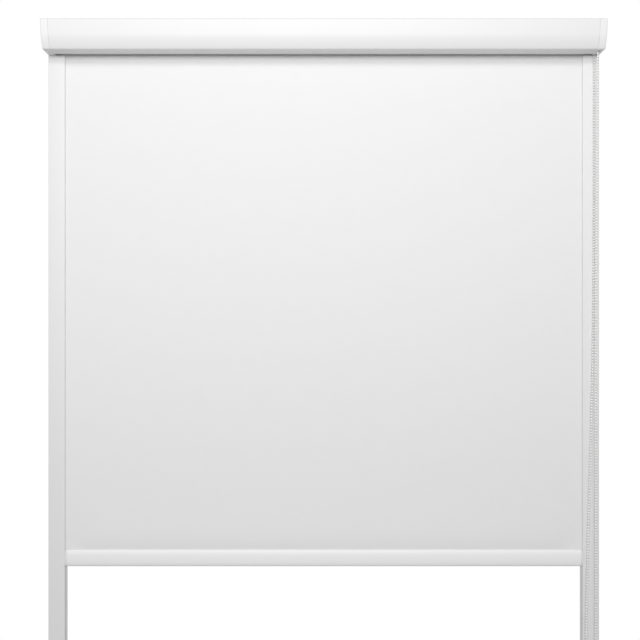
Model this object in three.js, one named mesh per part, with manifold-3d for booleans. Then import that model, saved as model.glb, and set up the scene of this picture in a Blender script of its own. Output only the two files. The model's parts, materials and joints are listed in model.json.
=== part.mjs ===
// A cassette roller blind with side channels, worked by a bead chain.
// Lengths are millimetres. X runs across the width to the viewer's right, Y runs back to the
// wall and Z runs up. The origin lies on the wall plane, behind the middle of the cassette.

import * as THREE from 'three';
import { mergeVertices } from 'three/addons/utils/BufferGeometryUtils.js';
import Module from 'manifold-3d';

const wasm = await Module();
wasm.setup();

// Whole blind
const overallWidth = 1200;
const overallHeight = 1500;
const standingGap = 0.3;
const overrun = 2;

// Cassette: the faceShares draw its front in side view, as shares of its height and depth
const cassetteHeight = 61.5;
const cassetteWall = 1.6;
const rollFrontRoom = 19.5;
const faceCornerRadius = 4;
const faceShares = {
  shoulderDrop: 0.53,
  shoulderBack: 0.076,
  kneeDrop: 0.96,
  kneeBack: 0.201,
  toeBack: 0.22,
  heelBack: 0.26,
  curvePull: 0.33,
};
const topFlangeDepth = 24;
const hookOverlap = 8;
const slotFrontRoom = 10;
const slotBackRoom = 4.5;
const lipReturn = 4;
const portRadius = 3.6;
const portInset = 3.3;
const portStrandRoom = 1.2;

// Cassette end caps
const capWidth = 16;
const capPlate = 3;
const capWall = 2;
const capEdgeRadius = 2.2;
const capEdgeSteps = 3;
const capSpigotLength = 15;
const bossWall = 2.2;
const exitWidth = 8.5;
const exitDepth = 7;

// Mounting clips behind the cassette
const clipWidth = 25;
const clipSheet = 1.2;
const clipSpace = 4.9;
const clipFromEnd = 160;
const hookDrop = 8;
const hookRise = 3;
const catchRise = 5.4;
const clipHoleRadius = 2.4;
const clipHoleRise = 10;

// Fabric, its tube and its roll
const fabricSideRoom = 1;
const fabricThickness = 0.5;
const tubeRadius = 16;
const tubeWall = 1.2;
const tubeEndInset = 0.4;
const woundThickness = 2.2;
const grooveWidth = 3;
const grooveDepth = 2.6;

// Chain, its wheel and the clutch
const beadDiameter = 4.5;
const beadPitch = 6;
const wheelPockets = 12;
const wheelFlange = 1.2;
const wheelFlangeRise = 1.9;
const chainShaftRadius = 6;
const clutchFlange = 2;
const clutchReach = 36;
const keySide = 14;
const springWall = 2.1;
const guardWall = 1.4;
const retainerThickness = 1;

// Idle end
const plugReach = 38;
const plugFlange = 1.3;
const pinRadius = 3;
const pinCollarRadius = 5.6;
const pinCollar = 2;
const pinTravel = 12.5;
const pinBearing = 10;

// Bottom bar
const barHeight = 36.5;
const barThickness = 13;
const barDrop = 1077.5;
const barRoundness = 2.3;
const barWall = 1.4;
const barCap = 3;
const barSideRoom = 0.7;
const barSlot = 1.6;
const kederRadius = 2.4;
const kederDepth = 9;
const tongueReach = 17.5;
const tongueThickness = 1.4;
const tongueHeight = 30;
const spigotLength = 12;

// Side channels
const channelWidth = 36;
const channelDepth = 18;
const channelWall = 1.5;
const pocketDepth = 6;
const pocketWidth = 22;
const coverLegDepth = 4.5;
const coverLeg = 1.2;
const stubHeight = 6;
const coverCornerRadius = 1.2;
const pileInset = 2;
const pileWidth = 6;
const footPlate = 3;
const footSpigot = 12;
const channelHoleRadius = 2.3;
const channelHoleShares = [0.09, 0.5, 0.91];

// Chain tensioner on the right channel
const tensionerAboveFoot = 75;
const tensionerFromInner = 14.5;
const pulleyPitchRadius = 10;
const pulleyRise = 1.1;
const pulleyDepth = 26;
const tensionerPlate = 2;
const tensionerPlateHeight = 50;
const tensionerWall = 1.3;
const tensionerRise = 18;
const axleRadius = 2;
const axleHeadRadius = 3.4;
const axleHead = 1.2;

// Screws
const screwShankRadius = 1.7;
const screwHeadRadius = 3.2;
const screwHead = 2.2;
const capScrewLength = 24;
const tensionerScrewLength = 9;
const crossWidth = 1;
const crossDepth = 1.4;
const crossReach = 4;

// Chain joiner
const joinerLength = 14;
const joinerWall = 0.9;
const joinerAboveTensioner = 62;

// How finely round shapes are cut, as counts
const ringSides = 40;
const rodSides = 20;
const smallSides = 12;
const faceSteps = 9;
const kneeSteps = 4;
const chainSides = 8;
const wheelSteps = 12;
const barSteps = 40;

// Places that follow from the sizes
const halfWidth = overallWidth / 2;
const topZ = cassetteHeight / 2;
const bottomZ = topZ - cassetteHeight;
const footZ = topZ - overallHeight;
const hookLevel = topZ - hookDrop;
const catchLevel = -bottomZ - catchRise;
const capInnerX = halfWidth - capWidth;
const plateInnerX = halfWidth - capPlate;
const channelInnerX = halfWidth - channelWidth;
const fabricDepth = channelDepth - channelWall - pocketDepth / 2;
const slotFrontDepth = fabricDepth + slotFrontRoom;
const slotBackDepth = fabricDepth - slotBackRoom;
const rollRadius = tubeRadius + standingGap + woundThickness;
const axisDepth = fabricDepth + rollRadius;
const cassetteDepth = axisDepth + rollRadius + rollFrontRoom;
const fabricWidth = 2 * (capInnerX - fabricSideRoom);
const wheelPitchRadius = (wheelPockets * beadPitch) / (2 * Math.PI);
const beadRoom = beadDiameter / 2 + standingGap;
const wheelHalf = beadRoom + wheelFlange;
const tubeEndX = capInnerX - standingGap - tubeEndInset - plugFlange;
const flangeOuterX = tubeEndX + standingGap + plugFlange;
const wheelX = flangeOuterX + standingGap + wheelHalf;
const coreFlangeX = wheelX + wheelHalf + standingGap;
const clutchOuterX = coreFlangeX + clutchFlange;
const leaveDrop = Math.sqrt(
  rollRadius ** 2 - (rollRadius - fabricThickness / 2 - standingGap) ** 2,
);
const barTopZ = bottomZ - barDrop;
const barZ = barTopZ - barHeight / 2;
const tensionerX = channelInnerX + tensionerFromInner;
const tensionerZ = footZ + tensionerAboveFoot;
const portY = -(clipSpace + cassetteWall + portInset);
const upperPort = [portY, topZ - cassetteWall - portInset];
const frontStrandDepth = axisDepth + wheelPitchRadius;
const lowerPort = [
  -(frontStrandDepth + beadRoom + portStrandRoom + portRadius),
  bottomZ + cassetteWall + portInset,
];

// Colours and surfaces
const whiteCoat = { color: 0xf4f5f5, roughness: 0.45, metalness: 0 };
const whiteMoulding = { color: 0xf3f4f4, roughness: 0.4, metalness: 0 };
const blindCloth = { color: 0xf2f3f3, roughness: 0.9, metalness: 0 };
const rawAluminium = { color: 0xc9cccf, roughness: 0.4, metalness: 1 };
const plainSteel = { color: 0xb5b8bb, roughness: 0.35, metalness: 1 };
const springSteel = { color: 0x9a9da1, roughness: 0.3, metalness: 1 };
const greyMoulding = { color: 0x8d9093, roughness: 0.5, metalness: 0 };
const whitePile = { color: 0xe9eaea, roughness: 1, metalness: 0 };

// Helpers for outlines and solids

/** A closed outline from pairs of coordinates. */
function outline(points) {
  return new THREE.Shape(points.map(([x, y]) => new THREE.Vector2(x, y)));
}

/** The outline with a hole of the given radius. */
function withHole(shape, x, y, radius) {
  shape.holes.push(new THREE.Path().absarc(x, y, radius, 0, 2 * Math.PI, true));
  return shape;
}

/** A prism of the outline between two levels along its third axis. */
function prism(shape, from, to, curveSegments = rodSides / 2) {
  const settings = { depth: to - from, bevelEnabled: false, curveSegments };
  return new THREE.ExtrudeGeometry(shape, settings).translate(0, 0, from);
}

/** A block between two corners on each axis. */
function block([x0, x1], [y0, y1], [z0, z1]) {
  const geometry = new THREE.BoxGeometry(x1 - x0, y1 - y0, z1 - z0);
  return geometry.translate((x0 + x1) / 2, (y0 + y1) / 2, (z0 + z1) / 2);
}

/** A round bar along the third axis. */
function rod(radius, [x, y], from, to, sides = rodSides) {
  const geometry = new THREE.CylinderGeometry(radius, radius, to - from, sides);
  return geometry.rotateX(Math.PI / 2).translate(x, y, (from + to) / 2);
}

/** A turned piece about the third axis, from [radius, level] pairs up its outer side. */
function turned(profile, sides = rodSides) {
  const points = profile.map(([radius, level]) => new THREE.Vector2(radius, level));
  return new THREE.LatheGeometry(points, sides).rotateX(Math.PI / 2);
}

/** A closed geometry as a solid that can be joined and cut. */
function toSolid(geometry) {
  const bare = geometry.clone();
  bare.deleteAttribute('normal');
  bare.deleteAttribute('uv');
  const merged = mergeVertices(bare);
  const corners = merged.index.array;
  const triangles = [];
  for (let i = 0; i < corners.length; i += 3) {
    const [a, b, c] = corners.slice(i, i + 3);
    if (a !== b && b !== c && c !== a) {
      triangles.push(a, b, c);
    }
  }
  const vertProperties = merged.attributes.position.array;
  const mesh = new wasm.Mesh({ numProp: 3, vertProperties, triVerts: Uint32Array.from(triangles) });
  return new wasm.Manifold(mesh);
}

/** A solid as a geometry again. */
function toGeometry(solid) {
  const mesh = solid.getMesh();
  const geometry = new THREE.BufferGeometry();
  geometry.setAttribute('position', new THREE.BufferAttribute(mesh.vertProperties, 3));
  geometry.setIndex(new THREE.BufferAttribute(mesh.triVerts, 1));
  return geometry;
}

/** All the geometries joined into one body. */
function joined(...geometries) {
  return toGeometry(geometries.map(toSolid).reduce((all, next) => all.add(next)));
}

/** The body with every cutter taken away. */
function cut(body, ...cutters) {
  return toGeometry(cutters.map(toSolid).reduce((left, next) => left.subtract(next), toSolid(body)));
}

/** The geometry made for the right end, or its mirror image for the left end. */
function forSide(geometry, side, across) {
  return side > 0 ? geometry : toGeometry(toSolid(geometry).mirror(across));
}

/** The points moved sideways to the left of their line by a distance. */
function besideLine(points, distance) {
  return points.map((point, i) => {
    const before = points[Math.max(i - 1, 0)];
    const after = points[Math.min(i + 1, points.length - 1)];
    const into = point.clone().sub(before).normalize();
    const out = after.clone().sub(point).normalize();
    const first = into.lengthSq() ? into : out;
    const second = out.lengthSq() ? out : into;
    const normal = new THREE.Vector2(-first.y - second.y, first.x + second.x).normalize();
    const across = normal.x * -second.y + normal.y * second.x;
    return point.clone().addScaledVector(normal, distance / across);
  });
}

/** A wall of even thickness on the left of a line. */
function wallAlong(points, thickness) {
  return new THREE.Shape([...points, ...besideLine(points, thickness).reverse()]);
}

// Scene graph
const blind = new THREE.Group();
const axisX = new THREE.Vector3(1, 0, 0);
const axisY = new THREE.Vector3(0, 1, 0);
const axisZ = new THREE.Vector3(0, 0, 1);
const towardsViewer = axisY.clone().negate();

/** A group whose own axes lie along the three directions given. */
function framed(parent, right, up, out) {
  const group = new THREE.Group();
  group.quaternion.setFromRotationMatrix(new THREE.Matrix4().makeBasis(right, up, out));
  parent.add(group);
  return group;
}

/** A plain group at a place. */
function grouped(parent, x, y, z) {
  const group = new THREE.Group();
  group.position.set(x, y, z);
  parent.add(group);
  return group;
}

/** Adds a named piece with a finish of its own. */
function addPiece(parent, name, geometry, finish) {
  const mesh = new THREE.Mesh(geometry, new THREE.MeshStandardMaterial(finish));
  mesh.name = name;
  parent.add(mesh);
  return mesh;
}

// Side view frame: its axes are back to the wall, up, and right across the width
const sideView = framed(blind, axisY, axisZ, axisX);
const acrossSideView = [0, 0, 1];
const acrossBlind = [1, 0, 0];
// Front view frame: its axes are right, up, and out to the viewer
const frontView = framed(blind, axisX, axisZ, towardsViewer);
const sides = { left: -1, right: 1 };

// Cassette shells

/** The cassette's outer line in side view, from the top round the front to the underside. */
function cassetteLine(topFrom, bottomTo) {
  const place = (y, z) => new THREE.Vector2(y, z);
  const setBack = (share) => (share - 1) * cassetteDepth;
  const dropped = (share) => topZ - share * cassetteHeight;
  const crown = place(-cassetteDepth, topZ);
  const shoulder = place(setBack(faceShares.shoulderBack), dropped(faceShares.shoulderDrop));
  const knee = place(setBack(faceShares.kneeBack), dropped(faceShares.kneeDrop));
  const toe = place(setBack(faceShares.toeBack), bottomZ);
  const heel = place(setBack(faceShares.heelBack), bottomZ);
  const lean = shoulder.clone().sub(crown).normalize();
  const kneeLean = toe.clone().sub(knee).normalize();
  const cornerLeg = faceCornerRadius / Math.tan(Math.acos(lean.x) / 2);
  const corner = new THREE.EllipseCurve(
    crown.x + cornerLeg,
    topZ - faceCornerRadius,
    faceCornerRadius,
    faceCornerRadius,
    Math.PI / 2,
    Math.PI + Math.atan2(lean.x, -lean.y),
  );
  const pull = faceShares.curvePull * shoulder.distanceTo(knee);
  const turnBelow = new THREE.CubicBezierCurve(
    shoulder,
    shoulder.clone().addScaledVector(lean, pull),
    knee.clone().addScaledVector(kneeLean, -pull),
    knee,
  );
  const turnUnder = new THREE.QuadraticBezierCurve(knee, toe, heel);
  return [
    place(topFrom, topZ),
    ...corner.getPoints(faceSteps),
    ...turnBelow.getPoints(faceSteps),
    ...turnUnder.getPoints(kneeSteps).slice(1),
    place(bottomTo, bottomZ),
  ];
}

/** A screw port: a bored boss that runs the length of a section. */
function screwPort([y, z], radius, from, to) {
  return rod(radius, [y, z], from, to, smallSides);
}

/** The wall-side section: back wall, top flange, clip seat, catch rib and slot foot. */
function backProfile() {
  const end = capInnerX - standingGap;
  const wall = cassetteWall;
  const outer = -clipSpace;
  const seatY = -(clipSheet + standingGap + fabricThickness / 2);
  const seatZ = hookLevel + standingGap;
  const back = -standingGap;
  const section = outline([
    [back, topZ],
    [-topFlangeDepth, topZ],
    [-topFlangeDepth, topZ - wall],
    [outer - wall, topZ - wall],
    [outer - wall, bottomZ + wall],
    [-slotBackDepth, bottomZ + wall],
    [-slotBackDepth, bottomZ],
    [back, bottomZ],
    [back, bottomZ + wall],
    [outer, bottomZ + wall],
    [outer, -catchLevel - clipSheet],
    [seatY, -catchLevel - clipSheet],
    [seatY, -catchLevel],
    [outer, -catchLevel],
    [outer, topZ - wall],
    [seatY - clipSheet, topZ - wall],
    [seatY - clipSheet, seatZ],
    [seatY, seatZ],
    [seatY, topZ - wall],
    [back, topZ - wall],
  ]);
  const body = joined(prism(section, -end, end), screwPort(upperPort, portRadius, -end, end));
  const boreFrom = end + overrun;
  return cut(body, screwPort(upperPort, screwShankRadius + standingGap, -boreFrom, boreFrom));
}

/** The curved front shell with the tongue that hooks under the top flange. */
function frontCover() {
  const end = capInnerX - standingGap;
  const rearY = -topFlangeDepth - standingGap;
  const line = cassetteLine(rearY, -slotFrontDepth);
  line.push(new THREE.Vector2(-slotFrontDepth, bottomZ + lipReturn));
  const shell = prism(wallAlong(line, cassetteWall), -end, end);
  const tongueTop = topZ - cassetteWall - standingGap;
  const tongueLow = tongueTop - cassetteWall;
  const stepFront = rearY - cassetteWall;
  const tongue = outline([
    [stepFront, tongueLow],
    [rearY + hookOverlap, tongueLow],
    [rearY + hookOverlap, tongueTop],
    [rearY, tongueTop],
    [rearY, topZ - cassetteWall / 2],
    [stepFront, topZ - cassetteWall / 2],
  ]);
  const port = screwPort(lowerPort, portRadius, -end, end);
  const boreFrom = end + overrun;
  const bore = screwPort(lowerPort, screwShankRadius + standingGap, -boreFrom, boreFrom);
  return cut(joined(shell, prism(tongue, -end, end), port), bore);
}

addPiece(sideView, 'back_profile', backProfile(), whiteCoat);
addPiece(sideView, 'front_cover', frontCover(), whiteCoat);

// End caps: hollow cups whose outer edge is rounded

/** A round boss on the inside of a cap, from a level out to its plate. */
function capBoss(place, radius, level) {
  return rod(radius, place, level, plateInnerX + capPlate / 2);
}

/** The spigot under a cap that reaches into the top of its side channel. */
function capSpigot() {
  const inner = channelInnerX + pocketWidth + channelWall + standingGap + coverLeg + standingGap;
  const outer = halfWidth - 2 * channelWall - 2 * standingGap;
  const back = [-(channelDepth - channelWall - standingGap), -(channelWall + standingGap)];
  return block(back, [bottomZ - capSpigotLength, bottomZ + capWall / 2], [inner, outer]);
}

/** One chain exit through the underside of the right cap. */
function chainExit(centreY) {
  const y = [centreY - exitDepth / 2, centreY + exitDepth / 2];
  const x = [wheelX - beadRoom, wheelX - beadRoom + exitWidth];
  return block(y, [bottomZ - overrun, bottomZ + capWall + overrun], x);
}

/** The cup of a cap: closed at its outer end, open towards the cassette. */
function capCup() {
  const bevel = {
    depth: capWidth,
    bevelEnabled: true,
    bevelThickness: capEdgeRadius,
    bevelSize: capEdgeRadius,
    bevelOffset: -capEdgeRadius,
    bevelSegments: capEdgeSteps,
  };
  const rounded = new THREE.ExtrudeGeometry(new THREE.Shape(cassetteLine(0, 0)), bevel);
  rounded.translate(0, 0, halfWidth - capEdgeRadius - capWidth);
  const clear = cassetteDepth + overrun;
  const trim = block([-clear, clear], [-clear, clear], [0, capInnerX]);
  const hollow = new THREE.Shape(besideLine(cassetteLine(-capWall, -capWall), capWall));
  return cut(rounded, trim, prism(hollow, capInnerX - overrun, plateInnerX));
}

/** An end cap with its bosses, spigot and screw holes. */
function endCap(side) {
  const hole = screwShankRadius + standingGap;
  const ports = [upperPort, lowerPort];
  const bosses = ports.map((port) => capBoss(port, hole + bossWall, capInnerX));
  const hubRadius = side > 0 ? keySide / Math.SQRT2 + bossWall : pinRadius + standingGap + bossWall;
  const hubLevel = side > 0 ? clutchOuterX + standingGap : capInnerX;
  const hub = capBoss([-axisDepth, 0], hubRadius, hubLevel);
  const body = joined(capCup(), ...bosses, hub, capSpigot());
  const outside = halfWidth + overrun;
  const headFrom = halfWidth - screwHead - standingGap;
  const holes = ports.map((port) => rod(hole, port, capInnerX - overrun, outside, smallSides));
  const heads = ports.map((port) => rod(screwHeadRadius + standingGap, port, headFrom, outside));
  const cap = cut(body, ...holes, ...heads, ...(side > 0 ? rightCapCuts() : [pinSocket()]));
  return forSide(cap, side, acrossSideView);
}

/** The square socket for the clutch key and the two chain exits. */
function rightCapCuts() {
  const half = keySide / 2 + standingGap;
  const y = [-axisDepth - half, -axisDepth + half];
  const socket = block(y, [-half, half], [clutchOuterX - overrun, plateInnerX]);
  return [socket, chainExit(-axisDepth - wheelPitchRadius), chainExit(-axisDepth + wheelPitchRadius)];
}

/** The blind hole that the idle pin sits in. */
function pinSocket() {
  return rod(pinRadius + standingGap, [-axisDepth, 0], capInnerX - overrun, plateInnerX);
}

/** A cross-head screw along the third axis, its head's face at zero and its shank below. */
function screw(length) {
  const tip = screwShankRadius / 2;
  const body = turned(
    [
      [0, -length],
      [tip, -length],
      [screwShankRadius, -length + screwShankRadius],
      [screwShankRadius, -screwHead],
      [screwHeadRadius, -screwHead],
      [screwHeadRadius, -screwHead / 3],
      [screwHeadRadius - screwHead / 3, 0],
      [0, 0],
    ],
    smallSides,
  );
  const wide = [-crossReach / 2, crossReach / 2];
  const narrow = [-crossWidth / 2, crossWidth / 2];
  const level = [-crossDepth, overrun];
  return cut(body, block(wide, narrow, level), block(narrow, wide, level));
}

for (const [name, side] of Object.entries(sides)) {
  addPiece(sideView, `end_cap_${name}`, endCap(side), whiteMoulding);
  const places = { upper: upperPort, lower: lowerPort };
  for (const [level, [y, z]] of Object.entries(places)) {
    const screwName = `cap_screw_${name}_${level}`;
    const capScrew = addPiece(sideView, screwName, screw(capScrewLength), plainSteel);
    capScrew.position.set(y, z, side * halfWidth);
    capScrew.rotation.x = side > 0 ? 0 : Math.PI;
  }
}

// Mounting clips: bent strips that the back profile hooks over and snaps onto

/** One clip in side view, bent from sheet, with two screw holes. */
function mountingClip() {
  const sheet = clipSheet;
  const reach = -(clipSpace - sheet / 2);
  const hookTop = hookLevel + hookRise;
  const bottom = -(catchLevel - standingGap);
  const section = outline([
    [0, bottom],
    [reach, bottom],
    [reach, bottom + sheet],
    [-sheet, bottom + sheet],
    [-sheet, hookLevel - sheet],
    [reach, hookLevel - sheet],
    [reach, hookTop],
    [reach + sheet, hookTop],
    [reach + sheet, hookLevel],
    [-sheet, hookLevel],
    [-sheet, hookTop],
    [0, hookTop],
  ]);
  const body = prism(section, -clipWidth / 2, clipWidth / 2);
  const drills = [-clipHoleRise, clipHoleRise].map((z) => {
    const drill = rod(clipHoleRadius, [0, 0], -overrun, sheet + overrun);
    return drill.rotateY(-Math.PI / 2).translate(0, z, 0);
  });
  return cut(body, ...drills);
}

const clipX = halfWidth - clipFromEnd;
const clipPlaces = { left: -clipX, centre: 0, right: clipX };
for (const [name, x] of Object.entries(clipPlaces)) {
  const clip = addPiece(sideView, `mounting_clip_${name}`, mountingClip(), springSteel);
  clip.position.z = x;
}

// Everything on the roller's axis: the roller itself, its idle end and its drive end
const onAxis = grouped(sideView, -axisDepth, 0, 0);

/** The tube's section, with the groove that takes the fabric's edge strip. */
function tubeSection(radius, groove, half) {
  const shape = new THREE.Path();
  const turn = Math.asin(half / radius);
  const start = -Math.PI / 2 + turn;
  const end = (3 * Math.PI) / 2 - turn;
  shape.absarc(0, 0, radius, start, end, false);
  shape.lineTo(-half, -radius + groove);
  shape.lineTo(half, -radius + groove);
  return shape.getPoints(ringSides);
}

/** The tube with its groove along the underside. */
function rollerTube() {
  const outer = tubeSection(tubeRadius, grooveDepth, grooveWidth / 2);
  const innerHalf = grooveWidth / 2 + tubeWall;
  const inner = tubeSection(tubeRadius - tubeWall, grooveDepth, innerHalf);
  const shape = new THREE.Shape(outer);
  shape.holes.push(new THREE.Path(inner.reverse()));
  return prism(shape, -tubeEndX, tubeEndX);
}

/** The wound fabric as a ring round the tube. */
function fabricRoll() {
  const shape = new THREE.Shape().absarc(0, 0, rollRadius, 0, 2 * Math.PI, false);
  const ring = withHole(shape, 0, 0, tubeRadius + standingGap);
  return prism(ring, -fabricWidth / 2, fabricWidth / 2, ringSides);
}

/** The strip that locks the fabric's upper edge in the tube. */
function tubeKeder() {
  const half = grooveWidth / 2 - standingGap;
  const low = -tubeRadius + standingGap;
  const high = -tubeRadius + grooveDepth - standingGap;
  const end = tubeEndX - standingGap;
  return block([-half, half], [low, high], [-end, end]);
}

/** The cutter that clears an end plug's body for the tube's inward groove. */
function plugGroove() {
  const half = grooveWidth / 2 + tubeWall + standingGap;
  const high = -tubeRadius + tubeWall + grooveDepth + standingGap;
  return block([-half, half], [-tubeRadius - overrun, high], [0, tubeEndX + standingGap / 2]);
}

const plugRadius = tubeRadius - tubeWall - standingGap;
const plugInnerX = tubeEndX - plugReach;
const chamberRadius = pinCollarRadius + 2 * standingGap;
const bearingInnerX = flangeOuterX - pinBearing;

/** A piece of the idle end, which is drawn on the right and sits on the left. */
function idleSide(geometry) {
  return forSide(geometry, sides.left, acrossSideView);
}

/** The left plug: a flanged bush with a chamber for the pin's spring. */
function idlePlug() {
  const flangeRadius = tubeRadius - standingGap;
  const bore = pinRadius + standingGap;
  const profile = [
    [bore, flangeOuterX],
    [bore, bearingInnerX],
    [chamberRadius, bearingInnerX],
    [chamberRadius, plugInnerX],
    [plugRadius, plugInnerX],
    [plugRadius, tubeEndX + standingGap],
    [flangeRadius, tubeEndX + standingGap],
    [flangeRadius, flangeOuterX],
    [bore, flangeOuterX],
  ];
  return idleSide(cut(turned(profile, ringSides), plugGroove()));
}

const pinOuterX = plateInnerX - standingGap;
const collarOuterX = bearingInnerX - standingGap;
const collarInnerX = collarOuterX - pinCollar;
const seatThickness = plugFlange;
const seatOuterX = plugInnerX + standingGap + seatThickness;
const pinTailX = seatOuterX + standingGap + pinTravel;

/** The sprung pin with its collar. */
function idlePin() {
  const bevel = pinRadius / 3;
  const profile = [
    [0, pinTailX],
    [pinRadius, pinTailX],
    [pinRadius, collarInnerX],
    [pinCollarRadius, collarInnerX],
    [pinCollarRadius, collarOuterX],
    [pinRadius, collarOuterX],
    [pinRadius, pinOuterX - bevel],
    [pinRadius - bevel, pinOuterX],
    [0, pinOuterX],
  ];
  return idleSide(turned(profile));
}

/** The pin's spring, as a sleeve of its coil's size. */
function idleSpring() {
  const low = seatOuterX + standingGap;
  const high = collarInnerX - standingGap;
  const inner = pinRadius + standingGap;
  const outer = pinCollarRadius;
  const profile = [
    [inner, low],
    [outer, low],
    [outer, high],
    [inner, high],
    [inner, low],
  ];
  return idleSide(turned(profile));
}

/** The disc that closes the plug's chamber behind the spring. */
function springSeat() {
  return idleSide(rod(chamberRadius - standingGap, [0, 0], plugInnerX + standingGap, seatOuterX));
}

const coreInnerX = tubeEndX - clutchReach;
const retainerX = coreInnerX + 2 * retainerThickness;
const journalRadius = chainShaftRadius / 2;
const springRadius = chainShaftRadius + standingGap + springWall;

/** The right plug, which the chain wheel drives and the wrap spring holds. */
function driveSleeve() {
  const flangeRadius = tubeRadius - standingGap;
  const bore = springRadius + standingGap;
  const bearing = chainShaftRadius + standingGap;
  const sleeveInnerX = retainerX + retainerThickness + standingGap;
  const bearingEndX = sleeveInnerX + clutchFlange;
  const profile = [
    [bearing, sleeveInnerX],
    [plugRadius, sleeveInnerX],
    [plugRadius, tubeEndX + standingGap],
    [flangeRadius, tubeEndX + standingGap],
    [flangeRadius, flangeOuterX],
    [bore, flangeOuterX],
    [bore, bearingEndX],
    [bearing, bearingEndX],
    [bearing, sleeveInnerX],
  ];
  return cut(turned(profile, ringSides), plugGroove());
}

addPiece(onAxis, 'roller_tube', rollerTube(), rawAluminium);
addPiece(onAxis, 'fabric_roll', fabricRoll(), blindCloth);
addPiece(onAxis, 'fabric_keder', tubeKeder(), greyMoulding);
addPiece(onAxis, 'idle_plug', idlePlug(), greyMoulding);
addPiece(onAxis, 'spring_seat', springSeat(), greyMoulding);
addPiece(onAxis, 'idle_pin', idlePin(), plainSteel);
addPiece(onAxis, 'idle_spring', idleSpring(), springSteel);
addPiece(onAxis, 'drive_sleeve', driveSleeve(), greyMoulding);

// Clutch and chain wheel

/** The fixed core: key, flange, shaft and a journal for its retainer. */
function clutchCore() {
  const flangeRadius = wheelPitchRadius + wheelFlangeRise;
  const body = turned([
    [0, coreInnerX],
    [journalRadius, coreInnerX],
    [journalRadius, retainerX + retainerThickness],
    [chainShaftRadius, retainerX + retainerThickness],
    [chainShaftRadius, coreFlangeX],
    [flangeRadius, coreFlangeX],
    [flangeRadius, clutchOuterX],
    [0, clutchOuterX],
  ]);
  const across = [-keySide / 2, keySide / 2];
  const along = [clutchOuterX - clutchFlange / 2, plateInnerX - standingGap];
  return joined(body, block(across, across, along));
}

/** The wheel's spool: two flanges beside the groove that the beads run in. */
function chainWheel() {
  const groove = wheelPitchRadius - beadDiameter / 2 - 2 * standingGap;
  const rim = wheelPitchRadius + wheelFlangeRise;
  const bore = chainShaftRadius + standingGap;
  const profile = [
    [bore, wheelX - wheelHalf],
    [rim, wheelX - wheelHalf],
    [rim, wheelX - beadRoom],
    [groove, wheelX - beadRoom],
    [groove, wheelX + beadRoom],
    [rim, wheelX + beadRoom],
    [rim, wheelX + wheelHalf],
    [bore, wheelX + wheelHalf],
    [bore, wheelX - wheelHalf],
  ];
  const spool = turned(profile, 2 * wheelPockets);
  const notches = Array.from({ length: wheelPockets }, (_, i) => {
    const angle = (2 * Math.PI * i) / wheelPockets;
    const place = [rim * Math.cos(angle), rim * Math.sin(angle)];
    const end = wheelHalf + overrun;
    return rod(beadDiameter / 4, place, wheelX - end, wheelX + end, chainSides);
  });
  return cut(spool, ...notches);
}

/** The guard over the wheel, open below for the two strands. */
function chainGuard() {
  const inner = wheelPitchRadius + wheelFlangeRise + 2 * standingGap;
  const outer = inner + guardWall;
  const shape = new THREE.Shape();
  shape.absarc(0, 0, outer, 0, Math.PI, false);
  shape.lineTo(-outer, -inner);
  shape.lineTo(-inner, -inner);
  shape.lineTo(-inner, 0);
  shape.absarc(0, 0, inner, Math.PI, 0, true);
  shape.lineTo(inner, -inner);
  shape.lineTo(outer, -inner);
  return prism(shape, capInnerX + standingGap, plateInnerX - standingGap, smallSides);
}

/** The wrap spring on the core, as a sleeve of its coil's size. */
function wrapSpring() {
  const inner = chainShaftRadius + standingGap;
  const low = retainerX + 2 * (retainerThickness + clutchFlange);
  const high = tubeEndX;
  const profile = [
    [inner, low],
    [springRadius, low],
    [springRadius, high],
    [inner, high],
    [inner, low],
  ];
  return turned(profile);
}

/** The washer that keeps the sleeve on the core. */
function sleeveRetainer() {
  const inner = journalRadius + standingGap;
  const outer = chainShaftRadius + 2 * standingGap;
  const profile = [
    [inner, retainerX - standingGap],
    [outer, retainerX - standingGap],
    [outer, retainerX + retainerThickness - standingGap],
    [inner, retainerX + retainerThickness - standingGap],
    [inner, retainerX - standingGap],
  ];
  return turned(profile);
}

addPiece(onAxis, 'clutch_core', clutchCore(), greyMoulding);
addPiece(onAxis, 'chain_wheel', chainWheel(), whiteMoulding);
addPiece(onAxis, 'chain_guard', chainGuard(), whiteMoulding);
addPiece(onAxis, 'wrap_spring', wrapSpring(), springSteel);
addPiece(onAxis, 'sleeve_retainer', sleeveRetainer(), springSteel);

// Hanging fabric, drawn in the front view with a tab that enters the bottom bar
const barEndX = channelInnerX - barSideRoom - barCap - standingGap;

/** The hanging fabric from the roll down into the bottom bar. */
function fabricPanel() {
  const half = fabricWidth / 2;
  const tab = barEndX - standingGap;
  const shoulder = barTopZ + standingGap;
  const low = barTopZ - kederDepth + kederRadius + standingGap;
  const shape = outline([
    [-half, -leaveDrop],
    [-half, shoulder],
    [-tab, shoulder],
    [-tab, low],
    [tab, low],
    [tab, shoulder],
    [half, shoulder],
    [half, -leaveDrop],
  ]);
  return prism(shape, -fabricThickness / 2, fabricThickness / 2);
}

const fabricMesh = addPiece(frontView, 'fabric_panel', fabricPanel(), blindCloth);
fabricMesh.position.z = fabricDepth;

// Bottom bar, drawn about its own centre in side view
const bar = grouped(sideView, -fabricDepth, barZ, 0);

/** The bar's rounded section: a squared-off oval, shrunk by an inset. */
function barSection(inset) {
  const a = barThickness / 2 - inset;
  const b = barHeight / 2 - inset;
  const power = 2 / barRoundness;
  const points = Array.from({ length: barSteps }, (_, i) => {
    const angle = (2 * Math.PI * (i + 1 / 2)) / barSteps;
    const [c, s] = [Math.cos(angle), Math.sin(angle)];
    return [a * Math.sign(c) * Math.abs(c) ** power, b * Math.sign(s) * Math.abs(s) ** power];
  });
  return outline(points);
}

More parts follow.
